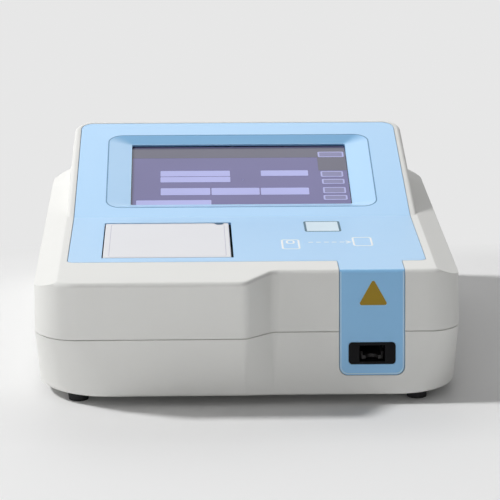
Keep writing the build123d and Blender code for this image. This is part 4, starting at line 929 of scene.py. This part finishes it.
def tongueHighlightPath(plan):
    # Down the left side, round two quarter circles at the end, and up the right side
    turn = np.linspace(np.pi, 1.5 * np.pi, 7)
    left = plan["middle"] - plan["across"] / 2
    right = plan["middle"] + plan["across"] / 2
    top, end, radius = upTongue(plan["top"]), upTongue(plan["end"]), plan["radius"]
    arc = radius * np.stack([np.cos(turn), np.sin(turn)], axis=-1)
    leftArc = np.array([left + radius, end + radius]) + arc
    rightArc = np.array([right - radius, end + radius]) + arc[::-1] * np.array([-1.0, 1.0])
    return np.concatenate([[[left, top]], leftArc, rightArc, [[right, top]]])


tongueHighlightMesh = lineMesh(tongueHighlightPath(tongueHighlightLook), tongueHighlightLook["width"], tongueHighlightLook["height"])
tongueHighlight = inkAndPaintedLight("tongue_rim_highlight", tongueHighlightLook["colour"], tongueHighlightLook["roughness"])
flatPiece("tongue_rim_highlight", [tongueHighlightMesh], "tongue", tongueHighlight)
print("tongue rim made")

# Darker contour line inside the door's edge: painted shade where the door's rounded edge meets its top

doorShadeLook = {
    "frame": {"middle": (-51.5, -58.45), "size": (76.6, 84.9), "radius": 2.0},
    # painted shade: greyer than the door's white
    "width": 0.45, "height": 0.03, "colour": (0.60, 0.59, 0.68),
}
doorShadeMesh = printedFrame(doorShadeLook["frame"], doorShadeLook["width"], doorShadeLook["height"])
doorShade = inkAndPaintedLight("door_contour_shade", doorShadeLook["colour"])
flatPiece("door_contour_shade", [doorShadeMesh], "deck", doorShade, body="door")
print("door contour made")


# Floor

def floorMaterial(look):
    # Matt paper, lighter in front of the case and darker beside it as painted light and shade; past its
    # edge the camera, gloss and glass see the backdrop's even tone
    material, shader = newMaterial(
        "floor", look["front"], look["roughness"], Specular_IOR_Level=look["specular"])
    parts = addNode(material, "ShaderNodeSeparateXYZ")
    join(material, objectPoint(material), parts.inputs["Vector"])
    # painted light and shade: along Y the floor's colour goes from the light front tone to the darker tone
    # beside the case
    turn = spread(material, parts.outputs["Y"], 0.0, 1.0, *look["turn"])
    shadeBase(material, shader, turn, look["front"], look["beside"])
    step = spread(material, parts.outputs["Y"], 0.0, 1.0, *look["edge"])
    backdrop = addNode(material, "ShaderNodeEmission")
    backdrop.inputs["Color"].default_value = (*look["backdrop"], 1)
    path = addNode(material, "ShaderNodeLightPath")
    seen = mathNode(material, "MAXIMUM", path.outputs["Is Camera Ray"], path.outputs["Is Glossy Ray"])
    seen = mathNode(material, "MAXIMUM", seen, path.outputs["Is Transmission Ray"])
    choose = addNode(material, "ShaderNodeMixShader")
    join(material, mathNode(material, "MULTIPLY", step, seen), choose.inputs["Fac"])
    join(material, shader.outputs["BSDF"], choose.inputs[1])
    join(material, backdrop.outputs["Emission"], choose.inputs[2])
    join(material, choose.outputs["Shader"], material.node_tree.nodes["Material Output"].inputs["Surface"])
    return material


lines = floorLook["lines"]
along = np.linspace(-floorLook["reach"], floorLook["reach"], lines)
floorX, floorY = np.meshgrid(along, along)
floorPoints = np.stack([floorX, floorY, np.zeros_like(floorX)], axis=-1).reshape(-1, 3)
floorMesh = bpy.data.meshes.new("floor")
floorMesh.from_pydata(floorPoints.tolist(), [], gridFaces(lines, lines).tolist())
floorMesh.materials.append(floorMaterial(floorLook))
floor = bpy.data.objects.new("floor", floorMesh)
bpy.context.scene.collection.objects.link(floor)
print("floor laid")
